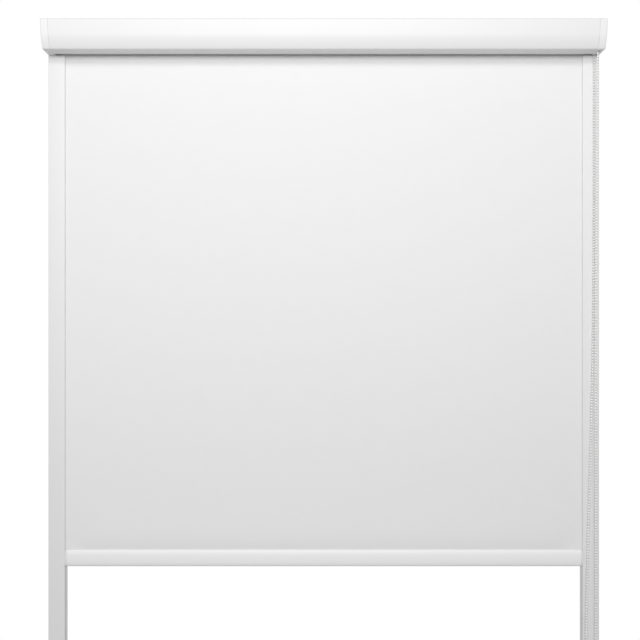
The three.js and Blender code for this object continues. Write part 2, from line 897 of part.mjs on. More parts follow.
const chamberZ = barHeight / 2 - kederDepth;
const webZ = chamberZ - kederRadius - standingGap - barWall;

/** The hollow below the fabric chamber, shared by the bar and its caps' spigots. */
function barHollow(inset, end) {
  const full = toSolid(prism(barSection(barWall + inset), -end, end));
  const clear = barHeight;
  const below = toSolid(block([-clear, clear], [-clear, webZ - inset], [-end, end]));
  return toGeometry(full.intersect(below));
}

/** The bar: an oval tube with a slot and round chamber for the fabric's edge. */
function bottomBar() {
  const end = barEndX + overrun;
  const slot = block([-barSlot / 2, barSlot / 2], [chamberZ, barHeight], [-end, end]);
  const chamber = rod(kederRadius + standingGap, [0, chamberZ], -end, end);
  const body = prism(barSection(0), -barEndX, barEndX);
  return cut(body, slot, chamber, barHollow(0, end));
}

/** The strip that locks the fabric's lower edge in the bar. */
function barKeder() {
  return rod(kederRadius, [0, chamberZ], -barEndX, barEndX, smallSides);
}

/** A bar end cap with its spigot and the tongue that runs in the side channel. */
function barEndCap(side) {
  const inner = barEndX + standingGap;
  const outer = inner + barCap;
  const plate = prism(barSection(0), inner, outer);
  const thick = [-tongueThickness / 2, tongueThickness / 2];
  const tall = [-tongueHeight / 2, tongueHeight / 2];
  const tongue = block(thick, tall, [outer - barCap / 2, channelInnerX + tongueReach]);
  const clear = barHeight;
  const keep = block([-clear, clear], [-clear, clear], [inner - spigotLength, inner]);
  const spigot = toGeometry(toSolid(barHollow(standingGap, inner)).intersect(toSolid(keep)));
  const rib = [-tongueHeight / 4, webZ - 2 * standingGap];
  const bridge = block(thick, rib, [inner - barCap, inner + barCap / 2]);
  return forSide(joined(plate, tongue, spigot, bridge), side, acrossSideView);
}

addPiece(bar, 'bottom_bar', bottomBar(), whiteCoat);
addPiece(bar, 'bar_keder', barKeder(), greyMoulding);
for (const [name, side] of Object.entries(sides)) {
  addPiece(bar, `bar_cap_${name}`, barEndCap(side), whiteMoulding);
}

// Side channels, drawn in plan: u runs out from the inner edge and v out from the wall
const channelTopZ = bottomZ - standingGap;
const channelFootZ = footZ + footPlate + standingGap;
const shelfTop = channelDepth - channelWall - pocketDepth;
const webOuter = pocketWidth + channelWall;
const stubOuter = channelWidth - channelWall - standingGap;

/** Turns a plan place on the right channel into blind coordinates. */
function inPlan([u, v]) {
  return [channelInnerX + u, -v];
}

/** The wall-fixed section of a channel: box, guide shelf, web and cover stub. */
function channelBase(side) {
  const wall = channelWall;
  const webTop = channelDepth - wall - standingGap;
  const section = outline(
    [
      [0, 0],
      [stubOuter, 0],
      [stubOuter, stubHeight],
      [stubOuter - wall, stubHeight],
      [stubOuter - wall, wall],
      [webOuter, wall],
      [webOuter, webTop],
      [pocketWidth, webTop],
      [pocketWidth, shelfTop],
      [0, shelfTop],
    ].map(inPlan),
  );
  const ends = [channelFootZ - overrun, channelTopZ + overrun];
  const chamberX = [channelInnerX + wall, channelInnerX + pocketWidth];
  const chamber = block(chamberX, [-(shelfTop - wall), -wall], ends);
  const holeX = channelInnerX + (webOuter + stubOuter - wall) / 2;
  const drills = channelHoleShares.map((share) => {
    const z = channelTopZ + share * (channelFootZ - channelTopZ);
    const drill = rod(channelHoleRadius, [0, 0], -overrun, wall + overrun, smallSides);
    return drill.rotateX(Math.PI / 2).translate(holeX, 0, z);
  });
  return forSide(cut(prism(section, channelFootZ, channelTopZ), chamber, ...drills), side, acrossBlind);
}

/** The snap-on cover: front face, outer side and the leg that grips the web. */
function channelCover(side) {
  const wall = channelWall;
  const under = channelDepth - wall;
  const legInner = webOuter + standingGap;
  const lip = wall / 2;
  const r = coverCornerRadius;
  const place = (u, v) => inPlan([u, v]);
  const shape = new THREE.Shape();
  shape.moveTo(...place(0, under - lip));
  shape.lineTo(...place(0, channelDepth - r));
  shape.quadraticCurveTo(...place(0, channelDepth), ...place(r, channelDepth));
  shape.lineTo(...place(channelWidth - r, channelDepth));
  shape.quadraticCurveTo(...place(channelWidth, channelDepth), ...place(channelWidth, channelDepth - r));
  shape.lineTo(...place(channelWidth, standingGap));
  shape.lineTo(...place(channelWidth - wall, standingGap));
  shape.lineTo(...place(channelWidth - wall, under));
  shape.lineTo(...place(legInner + coverLeg, under));
  shape.lineTo(...place(legInner + coverLeg, under - coverLegDepth));
  shape.lineTo(...place(legInner, under - coverLegDepth));
  shape.lineTo(...place(legInner, under));
  shape.lineTo(...place(wall, under));
  shape.lineTo(...place(wall, under - lip));
  const body = prism(shape, channelFootZ, channelTopZ, capEdgeSteps);
  return side > 0 ? cut(body, ...tensionerDrills()) : forSide(body, side, acrossBlind);
}

// The line of the tensioner's screws, and the two levels that they sit at
const tensionerScrewX = halfWidth - screwHeadRadius - standingGap;
const tensionerScrewRise = tensionerPlateHeight / 2 - 2 * screwHeadRadius;
const tensionerScrewLevels = {
  upper: tensionerZ + tensionerScrewRise,
  lower: tensionerZ - tensionerScrewRise,
};

/** The holes in the right cover for the tensioner's screws. */
function tensionerDrills() {
  const [from, to] = [channelDepth - channelWall - overrun, channelDepth + overrun];
  return Object.values(tensionerScrewLevels).map((z) => {
    const drill = rod(screwShankRadius + standingGap, [0, 0], from, to, smallSides);
    return drill.rotateX(Math.PI / 2).translate(tensionerScrewX, 0, z);
  });
}

/** A brush strip beside the fabric, between two depths out from the wall. */
function pileStrip(side, low, high) {
  const x = [channelInnerX + pileInset, channelInnerX + pileInset + pileWidth];
  const strip = block(x, [-high, -low], [channelFootZ, channelTopZ]);
  return forSide(strip, side, acrossBlind);
}

/** The foot that closes a channel, with spigots into its two chambers. */
function channelFoot(side) {
  const wall = channelWall + standingGap;
  const plate = block([channelInnerX, halfWidth], [-channelDepth, 0], [footZ, footZ + footPlate]);
  const spigotZ = [footZ + footPlate / 2, footZ + footPlate + footSpigot];
  const guideX = [channelInnerX + wall, channelInnerX + pocketWidth - standingGap];
  const guideSpigot = block(guideX, [-(shelfTop - wall), -wall], spigotZ);
  const screwX = [webOuter + 2 * standingGap + coverLeg, stubOuter - wall].map((u) => channelInnerX + u);
  const screwSpigot = block(screwX, [-(channelDepth - wall), -wall], spigotZ);
  return forSide(joined(plate, guideSpigot, screwSpigot), side, acrossBlind);
}

const tongueFront = fabricDepth + tongueThickness / 2 + standingGap;
const tongueBack = fabricDepth - tongueThickness / 2 - standingGap;
for (const [name, side] of Object.entries(sides)) {
  addPiece(blind, `channel_base_${name}`, channelBase(side), whiteCoat);
  addPiece(blind, `channel_cover_${name}`, channelCover(side), whiteCoat);
  const frontPile = pileStrip(side, tongueFront, channelDepth - channelWall - standingGap);
  addPiece(blind, `front_pile_${name}`, frontPile, whitePile);
  const backPile = pileStrip(side, shelfTop + standingGap, tongueBack);
  addPiece(blind, `back_pile_${name}`, backPile, whitePile);
  addPiece(blind, `channel_foot_${name}`, channelFoot(side), whiteMoulding);
}

// Chain tensioner, drawn in front view about its pulley
const tensioner = grouped(frontView, tensionerX, tensionerZ, 0);
const plateBack = channelDepth + standingGap;
const plateFront = plateBack + tensionerPlate;
const pulleyHalf = beadRoom + wheelFlange;
const coverBack = pulleyDepth + pulleyHalf + standingGap;
const coverFront = coverBack + tensionerPlate;
const housingInner = pulleyPitchRadius + beadDiameter / 2 + standingGap;
const housingOuter = housingInner + tensionerWall;

/** A U-shaped prism with a round bottom, from its centre line up to a level. */
function roundBottom(radius, top, from, to) {
  const shape = new THREE.Shape();
  shape.moveTo(radius, top);
  shape.lineTo(-radius, top);
  shape.lineTo(-radius, 0);
  shape.absarc(0, 0, radius, Math.PI, 2 * Math.PI, false);
  return prism(shape, from, to, smallSides);
}

/** The tensioner's base: screw plate, U-shaped wall and bearing boss. */
function tensionerBase() {
  const plateOuter = halfWidth - tensionerX - 2 * standingGap;
  const half = tensionerPlateHeight / 2;
  const r = axleHeadRadius;
  const shape = new THREE.Shape();
  shape.moveTo(-housingInner, -half);
  shape.lineTo(plateOuter - r, -half);
  shape.quadraticCurveTo(plateOuter, -half, plateOuter, -half + r);
  shape.lineTo(plateOuter, half - r);
  shape.quadraticCurveTo(plateOuter, half, plateOuter - r, half);
  shape.lineTo(-housingInner, half);
  const plate = prism(shape, plateBack, plateFront, capEdgeSteps);
  const middle = (plateBack + plateFront) / 2;
  const outer = roundBottom(housingOuter, tensionerRise, middle, coverBack - standingGap);
  const inner = roundBottom(housingInner, tensionerRise + overrun, plateFront, coverBack + overrun);
  const boss = rod(2 * axleRadius, [0, 0], middle, pulleyDepth - pulleyHalf - standingGap);
  const body = joined(plate, cut(outer, inner), boss);
  const [from, to] = [plateBack - overrun, plateFront + overrun];
  const bore = rod(axleRadius + standingGap, [0, 0], from, coverBack, smallSides);
  const holes = [-tensionerScrewRise, tensionerScrewRise].map((z) =>
    rod(screwShankRadius + standingGap, [tensionerScrewX - tensionerX, z], from, to, smallSides),
  );
  return cut(body, bore, ...holes);
}

/** The tensioner's front cover. */
function tensionerCover() {
  const plate = roundBottom(housingOuter, tensionerRise, coverBack, coverFront);
  const bore = rod(axleRadius + standingGap, [0, 0], plateBack, coverFront + overrun, smallSides);
  return cut(plate, bore);
}

/** The pulley that the lower end of the chain runs round. */
function tensionerPulley() {
  const groove = pulleyPitchRadius - beadDiameter / 2 - 2 * standingGap;
  const rim = pulleyPitchRadius + pulleyRise;
  const bore = axleRadius + standingGap;
  const profile = [
    [bore, -pulleyHalf],
    [rim, -pulleyHalf],
    [rim, -beadRoom],
    [groove, -beadRoom],
    [groove, beadRoom],
    [rim, beadRoom],
    [rim, pulleyHalf],
    [bore, pulleyHalf],
    [bore, -pulleyHalf],
  ];
  return turned(profile, 2 * smallSides);
}

/** The axle that holds the pulley and the cover, with a flat head in front. */
function tensionerAxle() {
  const headBack = coverFront + standingGap;
  return turned([
    [0, plateBack + standingGap],
    [axleRadius, plateBack + standingGap],
    [axleRadius, headBack],
    [axleHeadRadius, headBack],
    [axleHeadRadius, headBack + axleHead],
    [0, headBack + axleHead],
  ]);
}

addPiece(tensioner, 'tensioner_base', tensionerBase(), whiteMoulding);
addPiece(tensioner, 'tensioner_cover', tensionerCover(), whiteMoulding);
const pulley = addPiece(tensioner, 'tensioner_pulley', tensionerPulley(), whiteMoulding);
pulley.position.z = pulleyDepth;
addPiece(tensioner, 'tensioner_axle', tensionerAxle(), plainSteel);
for (const [level, z] of Object.entries(tensionerScrewLevels)) {
  const name = `tensioner_screw_${level}`;
  const fixing = addPiece(frontView, name, screw(tensionerScrewLength), plainSteel);
  fixing.position.set(tensionerScrewX, z, plateFront + standingGap + screwHead);
}

// Bead chain: one closed loop over the wheel and round the tensioner's pulley.
// Each row of a sway table is the share of the drop and the sideways share of the drop.
const backSwayShares = [
  [0.07, 0.001],
  [0.24, 0.0029],
  [0.4, 0.0043],
  [0.48, 0.0043],
  [0.56, 0.0036],
  [0.64, 0.0026],
  [0.72, 0.0013],
  [0.8, 0.0001],
  [0.88, -0.0007],
  [0.94, -0.0006],
];
const frontSwayShares = [
  [0.9, 0.0003],
  [0.78, 0.0001],
  [0.61, -0.0007],
  [0.44, -0.0011],
  [0.24, -0.0006],
  [0.05, 0],
];

/** A closed curve whose parameter runs evenly from point to point, not by length. */
class ChainRoute extends THREE.CatmullRomCurve3 {
  getUtoTmapping(u) {
    return u;
  }
}

/** The chain's centre line, as a closed loop of points. */
function chainPoints() {
  const drop = -tensionerZ;
  const overWheel = Array.from({ length: wheelSteps + 1 }, (_, i) => {
    const angle = Math.PI * (1 - i / wheelSteps);
    const y = -axisDepth + wheelPitchRadius * Math.cos(angle);
    return new THREE.Vector3(wheelX, y, wheelPitchRadius * Math.sin(angle));
  });
  const underPulley = Array.from({ length: wheelSteps + 1 }, (_, i) => {
    const angle = Math.PI * (1 + i / wheelSteps);
    const x = tensionerX + pulleyPitchRadius * Math.cos(angle);
    return new THREE.Vector3(x, -pulleyDepth, tensionerZ + pulleyPitchRadius * Math.sin(angle));
  });
  const strand = (top, foot, sways) =>
    sways.map(([share, sway]) => {
      const point = top.clone().lerp(foot, share);
      point.x += sway * drop;
      return point;
    });
  const down = strand(overWheel[wheelSteps], underPulley[0], backSwayShares);
  const up = strand(overWheel[0], underPulley[wheelSteps], frontSwayShares);
  return [...overWheel, ...down, ...underPulley, ...up];
}

const chainLoop = chainPoints();
const chainRoute = new ChainRoute(chainLoop, true, 'centripetal');
const chain = new THREE.TubeGeometry(chainRoute, chainLoop.length, beadDiameter / 2, chainSides, true);
addPiece(blind, 'bead_chain', chain, whiteMoulding);

/** The joiner sleeve that closes the loop on the front strand. */
function chainJoiner() {
  const inner = beadDiameter / 2 + standingGap;
  const outer = inner + joinerWall;
  const half = joinerLength / 2;
  const profile = [
    [inner, -half],
    [outer, -half],
    [outer, half],
    [inner, half],
    [inner, -half],
  ];
  return turned(profile);
}

const strandTop = chainLoop[0];
const strandFoot = chainLoop[chainLoop.length - frontSwayShares.length - 1];
const joinerShare = 1 - joinerAboveTensioner / (strandTop.z - strandFoot.z);
const joiner = addPiece(blind, 'chain_joiner', chainJoiner(), whiteMoulding);
joiner.position.lerpVectors(strandTop, strandFoot, joinerShare);
joiner.quaternion.setFromUnitVectors(axisZ, strandTop.clone().sub(strandFoot).normalize());

export default blind;
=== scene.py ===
"""A cassette roller blind with side channels, dressed for a studio picture.

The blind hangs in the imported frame: X runs across its width, Y runs back to the wall and Z runs up.
Each sub-assembly is a class with its own sizes, and each finish is a small frozen class.
"""

import json
import logging
import math
from dataclasses import dataclass
from enum import Enum
from typing import Any

import bmesh
import bpy
import numpy as np
from mathutils import Matrix, Vector
from numpy.typing import NDArray


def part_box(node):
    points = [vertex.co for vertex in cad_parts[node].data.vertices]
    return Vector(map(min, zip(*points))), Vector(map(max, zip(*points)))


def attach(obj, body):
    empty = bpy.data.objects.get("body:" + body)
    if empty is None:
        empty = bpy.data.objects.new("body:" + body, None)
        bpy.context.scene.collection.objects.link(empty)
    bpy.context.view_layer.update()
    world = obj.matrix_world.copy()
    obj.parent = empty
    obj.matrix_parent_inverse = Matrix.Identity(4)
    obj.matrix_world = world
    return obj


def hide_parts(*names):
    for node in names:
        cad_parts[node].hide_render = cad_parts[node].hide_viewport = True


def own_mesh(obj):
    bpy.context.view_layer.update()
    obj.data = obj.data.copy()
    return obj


log = logging.getLogger("blind")
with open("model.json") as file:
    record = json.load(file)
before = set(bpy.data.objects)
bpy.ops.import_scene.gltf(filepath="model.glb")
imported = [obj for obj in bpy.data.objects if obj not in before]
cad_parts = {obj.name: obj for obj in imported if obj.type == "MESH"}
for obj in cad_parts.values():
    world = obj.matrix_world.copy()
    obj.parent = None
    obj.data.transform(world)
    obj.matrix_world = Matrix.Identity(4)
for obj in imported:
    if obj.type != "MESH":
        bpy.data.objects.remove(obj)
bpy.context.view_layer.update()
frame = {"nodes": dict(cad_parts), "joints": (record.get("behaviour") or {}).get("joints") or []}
MM = 0.001
Array = NDArray[np.float64]
Corners = NDArray[np.int64]

# Corners that lie closer together than this are one corner
MERGE = 0.002 * MM
# Faces that meet at less than this many degrees are shaded as one smooth face
SMOOTH_BELOW = 32.0
# Faces that meet within the first angle are one flat face, and edges past the second one get eased
FLAT_WITHIN = math.radians(0.5)
EASED_ABOVE = math.radians(40)
# The chain: beads this far apart, and so many of them round the wheel
BEAD_PITCH = 6.0 * MM
WHEEL_BEADS = 12
WHEEL_RADIUS = WHEEL_BEADS * BEAD_PITCH / (2 * math.pi)


class Side(Enum):
    """The two ends of the blind, as seen by a viewer in the room."""

    LEFT = -1
    RIGHT = 1

    @property
    def word(self) -> str:
        """The side's name as the nodes spell it."""
        return self.name.lower()


class Body(Enum):
    """The bodies that pieces ride on."""

    FRAME = "frame"
    ROLLER = "roller"
    BAR = "bar"
    PULLEY = "tensioner_pulley"


class Slot(Enum):
    """The record's material slots that new pieces take their finish from."""

    COATED = "white_coated_aluminium"
    MOULDED = "white_moulding"
    CHAIN = "white_chain"
    CLOTH = "blind_fabric"
    STEEL = "spring_steel"
    PILE = "pile"


@dataclass(frozen=True)
class Span:
    """The lowest and highest corner of a node at rest."""

    low: Array
    high: Array

    @property
    def centre(self) -> Array:
        """The middle of the box."""
        return (self.low + self.high) / 2

    @property
    def size(self) -> Array:
        """The box's size on each axis."""
        return self.high - self.low


def span_of(node: str) -> Span:
    """Reads a node's box from the frame.

    Args:
        node: the node's name.

    Returns:
        Its box at rest.
    """
    low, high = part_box(node)
    return Span(np.array(low, float), np.array(high, float))


def joint_named(name: str) -> dict[str, Any]:
    """Finds a joint of the frame by its name."""
    return next(joint for joint in frame["joints"] if joint["name"] == name)


def pivot(name: str) -> Array:
    """The point that a hinge turns about, at rest."""
    return np.array(joint_named(name)["pos_m"], float)


# Colours and node trees


def linear(code: str) -> tuple[float, float, float, float]:
    """Turns an sRGB colour into the linear one that shaders take.

    Args:
        code: six hex digits, such as "F2F3F3".

    Returns:
        Linear red, green, blue and an alpha of 1.
    """
    parts = [int(code[i : i + 2], 16) / 255 for i in (0, 2, 4)]
    red, green, blue = [p / 12.92 if p <= 0.04045 else ((p + 0.055) / 1.055) ** 2.4 for p in parts]
    return red, green, blue, 1.0


def add_node(
    tree: bpy.types.NodeTree,
    kind: str,
    values: dict[str | int, Any] | None = None,
    links: dict[str | int, bpy.types.NodeSocket] | None = None,
    **settings: Any,
) -> bpy.types.Node:
    """Adds one node with its settings, its fixed inputs and its links.

    Args:
        tree: the tree that gets the node.
        kind: the node's type.
        values: fixed values by input name or number.
        links: sockets to link from, by input name or number.
        **settings: the node's own properties.

    Returns:
        The new node.
    """
    node = tree.nodes.new(kind)
    for name, value in settings.items():
        setattr(node, name, value)
    for name, value in (values or {}).items():
        node.inputs[name].default_value = value
    for name, socket in (links or {}).items():
        tree.links.new(socket, node.inputs[name])
    return node


@dataclass(frozen=True)
class Finish:
    """What every surface has: a colour with a little unevenness, a gloss and a fine relief.

    The grain is noise on object coordinates, stretched by the grain sizes along X, Y and Z.
    """

    title: str
    hex_code: str
    other_hex: str
    roughness: float
    roughness_spread: float = 0.04
    metallic: float = 0.0
    ior: float = 1.5
    cloud_mm: float = 60.0
    grain_mm: tuple[float, float, float] = (1.0, 1.0, 1.0)
    relief_mm: float = 0.01
    sheen: float = 0.0

    def relief(self, tree: bpy.types.NodeTree, place: bpy.types.NodeSocket) -> bpy.types.NodeSocket:
        """Gives the height of the fine relief, from 0 to 1.

        Args:
            tree: the material's tree.
            place: object coordinates in metres.

        Returns:
            The socket with the height.
        """
        stretch = tuple(1 / (size * MM) for size in self.grain_mm)
        mapped = add_node(tree, "ShaderNodeMapping", {"Scale": stretch}, {"Vector": place})
        noise = add_node(
            tree,
            "ShaderNodeTexNoise",
            {"Scale": 1.0, "Detail": 3.0, "Roughness": 0.55},
            {"Vector": mapped.outputs["Vector"]},
        )
        return noise.outputs["Fac"]

    def make(self) -> bpy.types.Material:
        """Builds the material once and finds it again later.

        Returns:
            The material.
        """
        known = bpy.data.materials.get(self.title)
        if known:
            return known
        material = bpy.data.materials.new(self.title)
        material.use_nodes = True
        tree = material.node_tree
        tree.nodes.clear()
        place = add_node(tree, "ShaderNodeTexCoord").outputs["Object"]
        cloud = add_node(
            tree,
            "ShaderNodeTexNoise",
            {"Scale": 1 / (self.cloud_mm * MM), "Detail": 4.0},
            {"Vector": place},
        ).outputs["Fac"]
        height = self.relief(tree, place)
        # A Mix node's inputs 6 and 7 are its two colours, and its output 2 is the mixed one
        colour = add_node(
            tree,
            "ShaderNodeMix",
            {6: linear(self.hex_code), 7: linear(self.other_hex)},
            {0: cloud},
            data_type="RGBA",
        ).outputs[2]
        gloss = add_node(
            tree,
            "ShaderNodeMapRange",
            {
                "To Min": self.roughness - self.roughness_spread,
                "To Max": self.roughness + self.roughness_spread,
            },
            {"Value": height},
        ).outputs["Result"]
        bump = add_node(
            tree,
            "ShaderNodeBump",
            {"Strength": 1.0, "Distance": self.relief_mm * MM},
            {"Height": height},
        ).outputs["Normal"]
        shader = add_node(
            tree,
            "ShaderNodeBsdfPrincipled",
            {"Metallic": self.metallic, "IOR": self.ior, "Sheen Weight": self.sheen},
            {"Base Color": colour, "Roughness": gloss, "Normal": bump},
        )
        add_node(tree, "ShaderNodeOutputMaterial", links={"Surface": shader.outputs["BSDF"]})
        return material


@dataclass(frozen=True)
class WovenCloth(Finish):
    """Plain woven polyester with a matt coating: crossing threads under a smooth filler.

    The relief is the product of two sine bands, one along each thread direction. Real threads lie
    0.3 mm apart, and they are drawn wider than that so that a close view shows them.
    """

    thread_mm: float = 0.6

    def relief(self, tree: bpy.types.NodeTree, place: bpy.types.NodeSocket) -> bpy.types.NodeSocket:
        """Gives the height of the weave: a wave with period p has a scale of pi / (10 p).

        Args:
            tree: the material's tree.
            place: object coordinates in metres.

        Returns:
            The socket with the height.
        """
        scale = math.pi / (10 * self.thread_mm * MM)
        bands = [
            add_node(
                tree,
                "ShaderNodeTexWave",
                {"Scale": scale, "Distortion": 0.6, "Detail": 1.0, "Detail Scale": 0.4},
                {"Vector": place},
                bands_direction=direction,
            ).outputs["Fac"]
            for direction in ("X", "Z")
        ]
        woven = add_node(tree, "ShaderNodeMath", links={0: bands[0], 1: bands[1]}, operation="MULTIPLY")
        return woven.outputs["Value"]


# Polyester powder, baked on: even satin white with a faint orange peel about a millimetre wide.
POWDER_COAT = Finish(
    "satin powder coat", "EBEBEB", "EDEDED", 0.44, grain_mm=(1.4, 1.4, 1.4), relief_mm=0.012
)
# The same powder on the channels, sprayed drier: the same white, a little duller.
CHANNEL_COAT = Finish(
    "channel powder coat", "EBEBEB", "EDEDED", 0.48, grain_mm=(1.4, 1.4, 1.4), relief_mm=0.012
)
# The same powder on the bar, thicker on its narrow section, so the white is fuller and smoother.
BAR_COAT = Finish("bar powder coat", "F8F8F8", "FAFAFA", 0.5, grain_mm=(1.8, 1.8, 1.8), relief_mm=0.008)
# Injection-moulded ABS from a spark-eroded mould: a touch whiter than the coat, with a finer skin.
MOULDED_ABS = Finish(
    "moulded white ABS", "F0F0F0", "F2F2F2", 0.4, grain_mm=(0.5, 0.5, 0.5), relief_mm=0.006
)
# Acetal beads, tumbled smooth: a soft gloss with small highlights.
ACETAL_BEAD = Finish(
    "white acetal bead", "FBFBFA", "FEFEFD", 0.28, grain_mm=(0.8, 0.8, 0.8), relief_mm=0.004
)
# Twisted polyester cord inside the chain, painted light grey for the shade that falls between the beads:
# dull, so the glossy beads stand out from it.
CORD_PAINTED_SHADE = Finish(
    "twisted polyester cord", "C6C6C5", "D0D0CF", 0.85, grain_mm=(0.4, 0.4, 0.8), relief_mm=0.05
)
# Woven polyester with a blackout coating: matt, smooth from a step away.
BLACKOUT_CLOTH = WovenCloth(
    "woven blackout cloth", "EFEFEF", "F1F1F1", 0.88, ior=1.45, cloud_mm=25.0, relief_mm=0.03, sheen=0.05
)
# Extruded 6063 aluminium as it leaves the die: fine lines along its length.
MILL_ALUMINIUM = Finish(
    "mill finish aluminium", "C4C7CA", "D0D2D4", 0.38, 0.08, 1.0, grain_mm=(60.0, 0.4, 0.4), relief_mm=0.006
)
# Glass-filled nylon: grey, dull, with a dry skin.
GREY_NYLON = Finish("grey nylon", "86898C", "8D9093", 0.55, grain_mm=(0.6, 0.6, 0.6), relief_mm=0.01)
# Hardened strip steel, rolled: darker, with a soft grain along the strip.
SPRING_STEEL = Finish(
    "rolled spring steel", "8F9295", "A3A5A8", 0.32, 0.08, 1.0, grain_mm=(0.3, 0.3, 14.0), relief_mm=0.004
)
# Bright zinc plate on a turned part: pale with a slight blue cast.
ZINC_PLATE = Finish("bright zinc plate", "BFC5CB", "CBD0D4", 0.27, 0.06, 1.0, relief_mm=0.003)
# Short polypropylene pile, cut level: dull white tips, with random patches of a darker white painted as the
# shade between the tufts.
BRUSH_PILE = Finish(
    "brush pile", "D9DADA", "F0F0EF", 0.95, 0.03, cloud_mm=2.0, grain_mm=(0.3, 0.3, 0.3), relief_mm=0.2
)
# Sealed screed under a matt white paint: pale, with wide faint clouds.
PALE_FLOOR = Finish("pale floor", "DCDCDB", "E0E0DF", 0.7, cloud_mm=300.0)


# Meshes worked out on grids


def smoothed(mesh: bpy.types.Mesh, angle: float = SMOOTH_BELOW) -> None:
    """Shades a mesh smooth, with sharp edges where faces meet at more than an angle in degrees."""
    mesh.shade_smooth()
    mesh.set_sharp_from_angle(angle=math.radians(angle))


def outwards(mesh: bpy.types.Mesh) -> None:
    """Merges doubles and points every face of a closed mesh outwards.

    Args:
        mesh: the mesh, which is changed in place.
    """
    work = bmesh.new()
    work.from_mesh(mesh)
    bmesh.ops.remove_doubles(work, verts=work.verts, dist=MERGE)
    bmesh.ops.recalc_face_normals(work, faces=work.faces)
    work.to_mesh(mesh)
    work.free()


def made(
    name: str, points: Array, faces: list[list[int]], angle: float = SMOOTH_BELOW
) -> bpy.types.Object:
    """Makes an object at the origin from points and faces.

    Args:
        name: the piece's name.
        points: every corner, one row each.
        faces: lists of corner numbers.
        angle: the smoothing limit in degrees.

    Returns:
        The new object, in the scene.
    """
    mesh = bpy.data.meshes.new(name)
    mesh.from_pydata(points.reshape(-1, 3).tolist(), [], faces)
    outwards(mesh)
    smoothed(mesh, angle)
    piece = bpy.data.objects.new(name, mesh)
    bpy.context.scene.collection.objects.link(piece)
    return piece


def grid_faces(rows: int, columns: int, closed: bool) -> Corners:
    """Numbers the four corners of every cell of a grid whose rows close on themselves.

    Args:
        rows: how many rows of points there are.
        columns: how many points each row has.
        closed: whether the last row joins the first.

    Returns:
        One row of four numbers for each cell.
    """
    index = np.arange(rows * columns).reshape(rows, columns)
    below = np.roll(index, -1, axis=0) if closed else index[1:]
    above = index if closed else index[:-1]
    cells = np.stack([above, np.roll(above, -1, 1), np.roll(below, -1, 1), below], axis=-1)
    return cells.reshape(-1, 4)


def lofted(name: str, rows: Array, angle: float = SMOOTH_BELOW) -> bpy.types.Object:
    """Skins closed loops one after the other and closes the first and last with flat faces.

    Args:
        name: the piece's name.
        rows: loops of equal length, shaped (loops, points, 3).
        angle: the smoothing limit in degrees.

    Returns:
        The closed piece.
    """
    count, length = rows.shape[:2]
    faces = grid_faces(count, length, False).tolist()
    lids = [list(range(length)), list(range((count - 1) * length, count * length))]
    return made(name, rows, faces + lids, angle)


def ringed(name: str, profile: Array, centre: Array, axis: int, steps: int) -> bpy.types.Object:
    """Turns a closed profile about an axis: radius times cosine and sine of each angle.

    Args:
        name: the piece's name.
        profile: closed loop of (radius, distance along the axis).
        centre: a point on the axis.
        axis: 0 for X, 1 for Y and 2 for Z.
        steps: how many angles there are.

    Returns:
        The ring-shaped piece.
    """
    turn = np.linspace(0, 2 * np.pi, steps, endpoint=False)[:, None]
    radius, along = profile[None, :, 0], profile[None, :, 1]
    points = np.empty((steps, len(profile), 3))
    points[..., axis] = along + centre[axis]
    points[..., (axis + 1) % 3] = radius * np.cos(turn) + centre[(axis + 1) % 3]
    points[..., (axis + 2) % 3] = radius * np.sin(turn) + centre[(axis + 2) % 3]
    return made(name, points, grid_faces(steps, len(profile), True).tolist())


def inset(loop: Array, distance: float) -> Array:
    """Moves a closed loop that runs anticlockwise inwards, each point along its corner's bisector.

    Args:
        loop: the points, one row each.
        distance: how far the sides move.

    Returns:
        The smaller loop.
    """
    into = loop - np.roll(loop, 1, axis=0)
    out = np.roll(loop, -1, axis=0) - loop
    into /= np.linalg.norm(into, axis=1, keepdims=True)
    out /= np.linalg.norm(out, axis=1, keepdims=True)
    normal = np.stack([-(into + out)[:, 1], (into + out)[:, 0]], axis=1)
    normal /= np.linalg.norm(normal, axis=1, keepdims=True)
    reach = normal[:, 0] * -out[:, 1] + normal[:, 1] * out[:, 0]
    return loop + normal * (distance / reach)[:, None]


def arc(centre: tuple[float, float], radius: float, start: float, end: float, steps: int) -> Array:
    """Points on a circle between two angles in radians, both ends included."""
    turn = np.linspace(start, end, steps + 1)
    return np.stack([centre[0] + radius * np.cos(turn), centre[1] + radius * np.sin(turn)], axis=1)


def bezier(a: Array, b: Array, c: Array, d: Array, steps: int) -> Array:
    """Points on the cubic curve a(1-t)^3 + 3b(1-t)^2 t + 3c(1-t)t^2 + d t^3."""
    t = np.linspace(0, 1, steps + 1)[:, None]
    return a * (1 - t) ** 3 + 3 * b * t * (1 - t) ** 2 + 3 * c * t**2 * (1 - t) + d * t**3


def rounded_corners(points: Array, radii: Array, steps: int = 4) -> Array:
    """Rounds each corner of a closed loop with a quadratic curve that starts a radius before it.

    Args:
        points: the corners, one row each.
        radii: how far each rounding reaches, 0 for a sharp corner.
        steps: points added for each rounded corner.

    Returns:
        The loop with its roundings, without the points that fall together.
    """
    into = np.roll(points, 1, axis=0) - points
    out = np.roll(points, -1, axis=0) - points
    into /= np.linalg.norm(into, axis=1, keepdims=True)
    out /= np.linalg.norm(out, axis=1, keepdims=True)
    t = np.linspace(0, 1, steps + 1)[None, :, None]
    first = (points + into * radii[:, None])[:, None]
    last = (points + out * radii[:, None])[:, None]
    curves = first * (1 - t) ** 2 + 2 * points[:, None] * t * (1 - t) + last * t**2
    loop = curves.reshape(-1, 2)
    step = np.linalg.norm(loop - np.roll(loop, 1, axis=0), axis=1)
    return loop[step > MERGE]


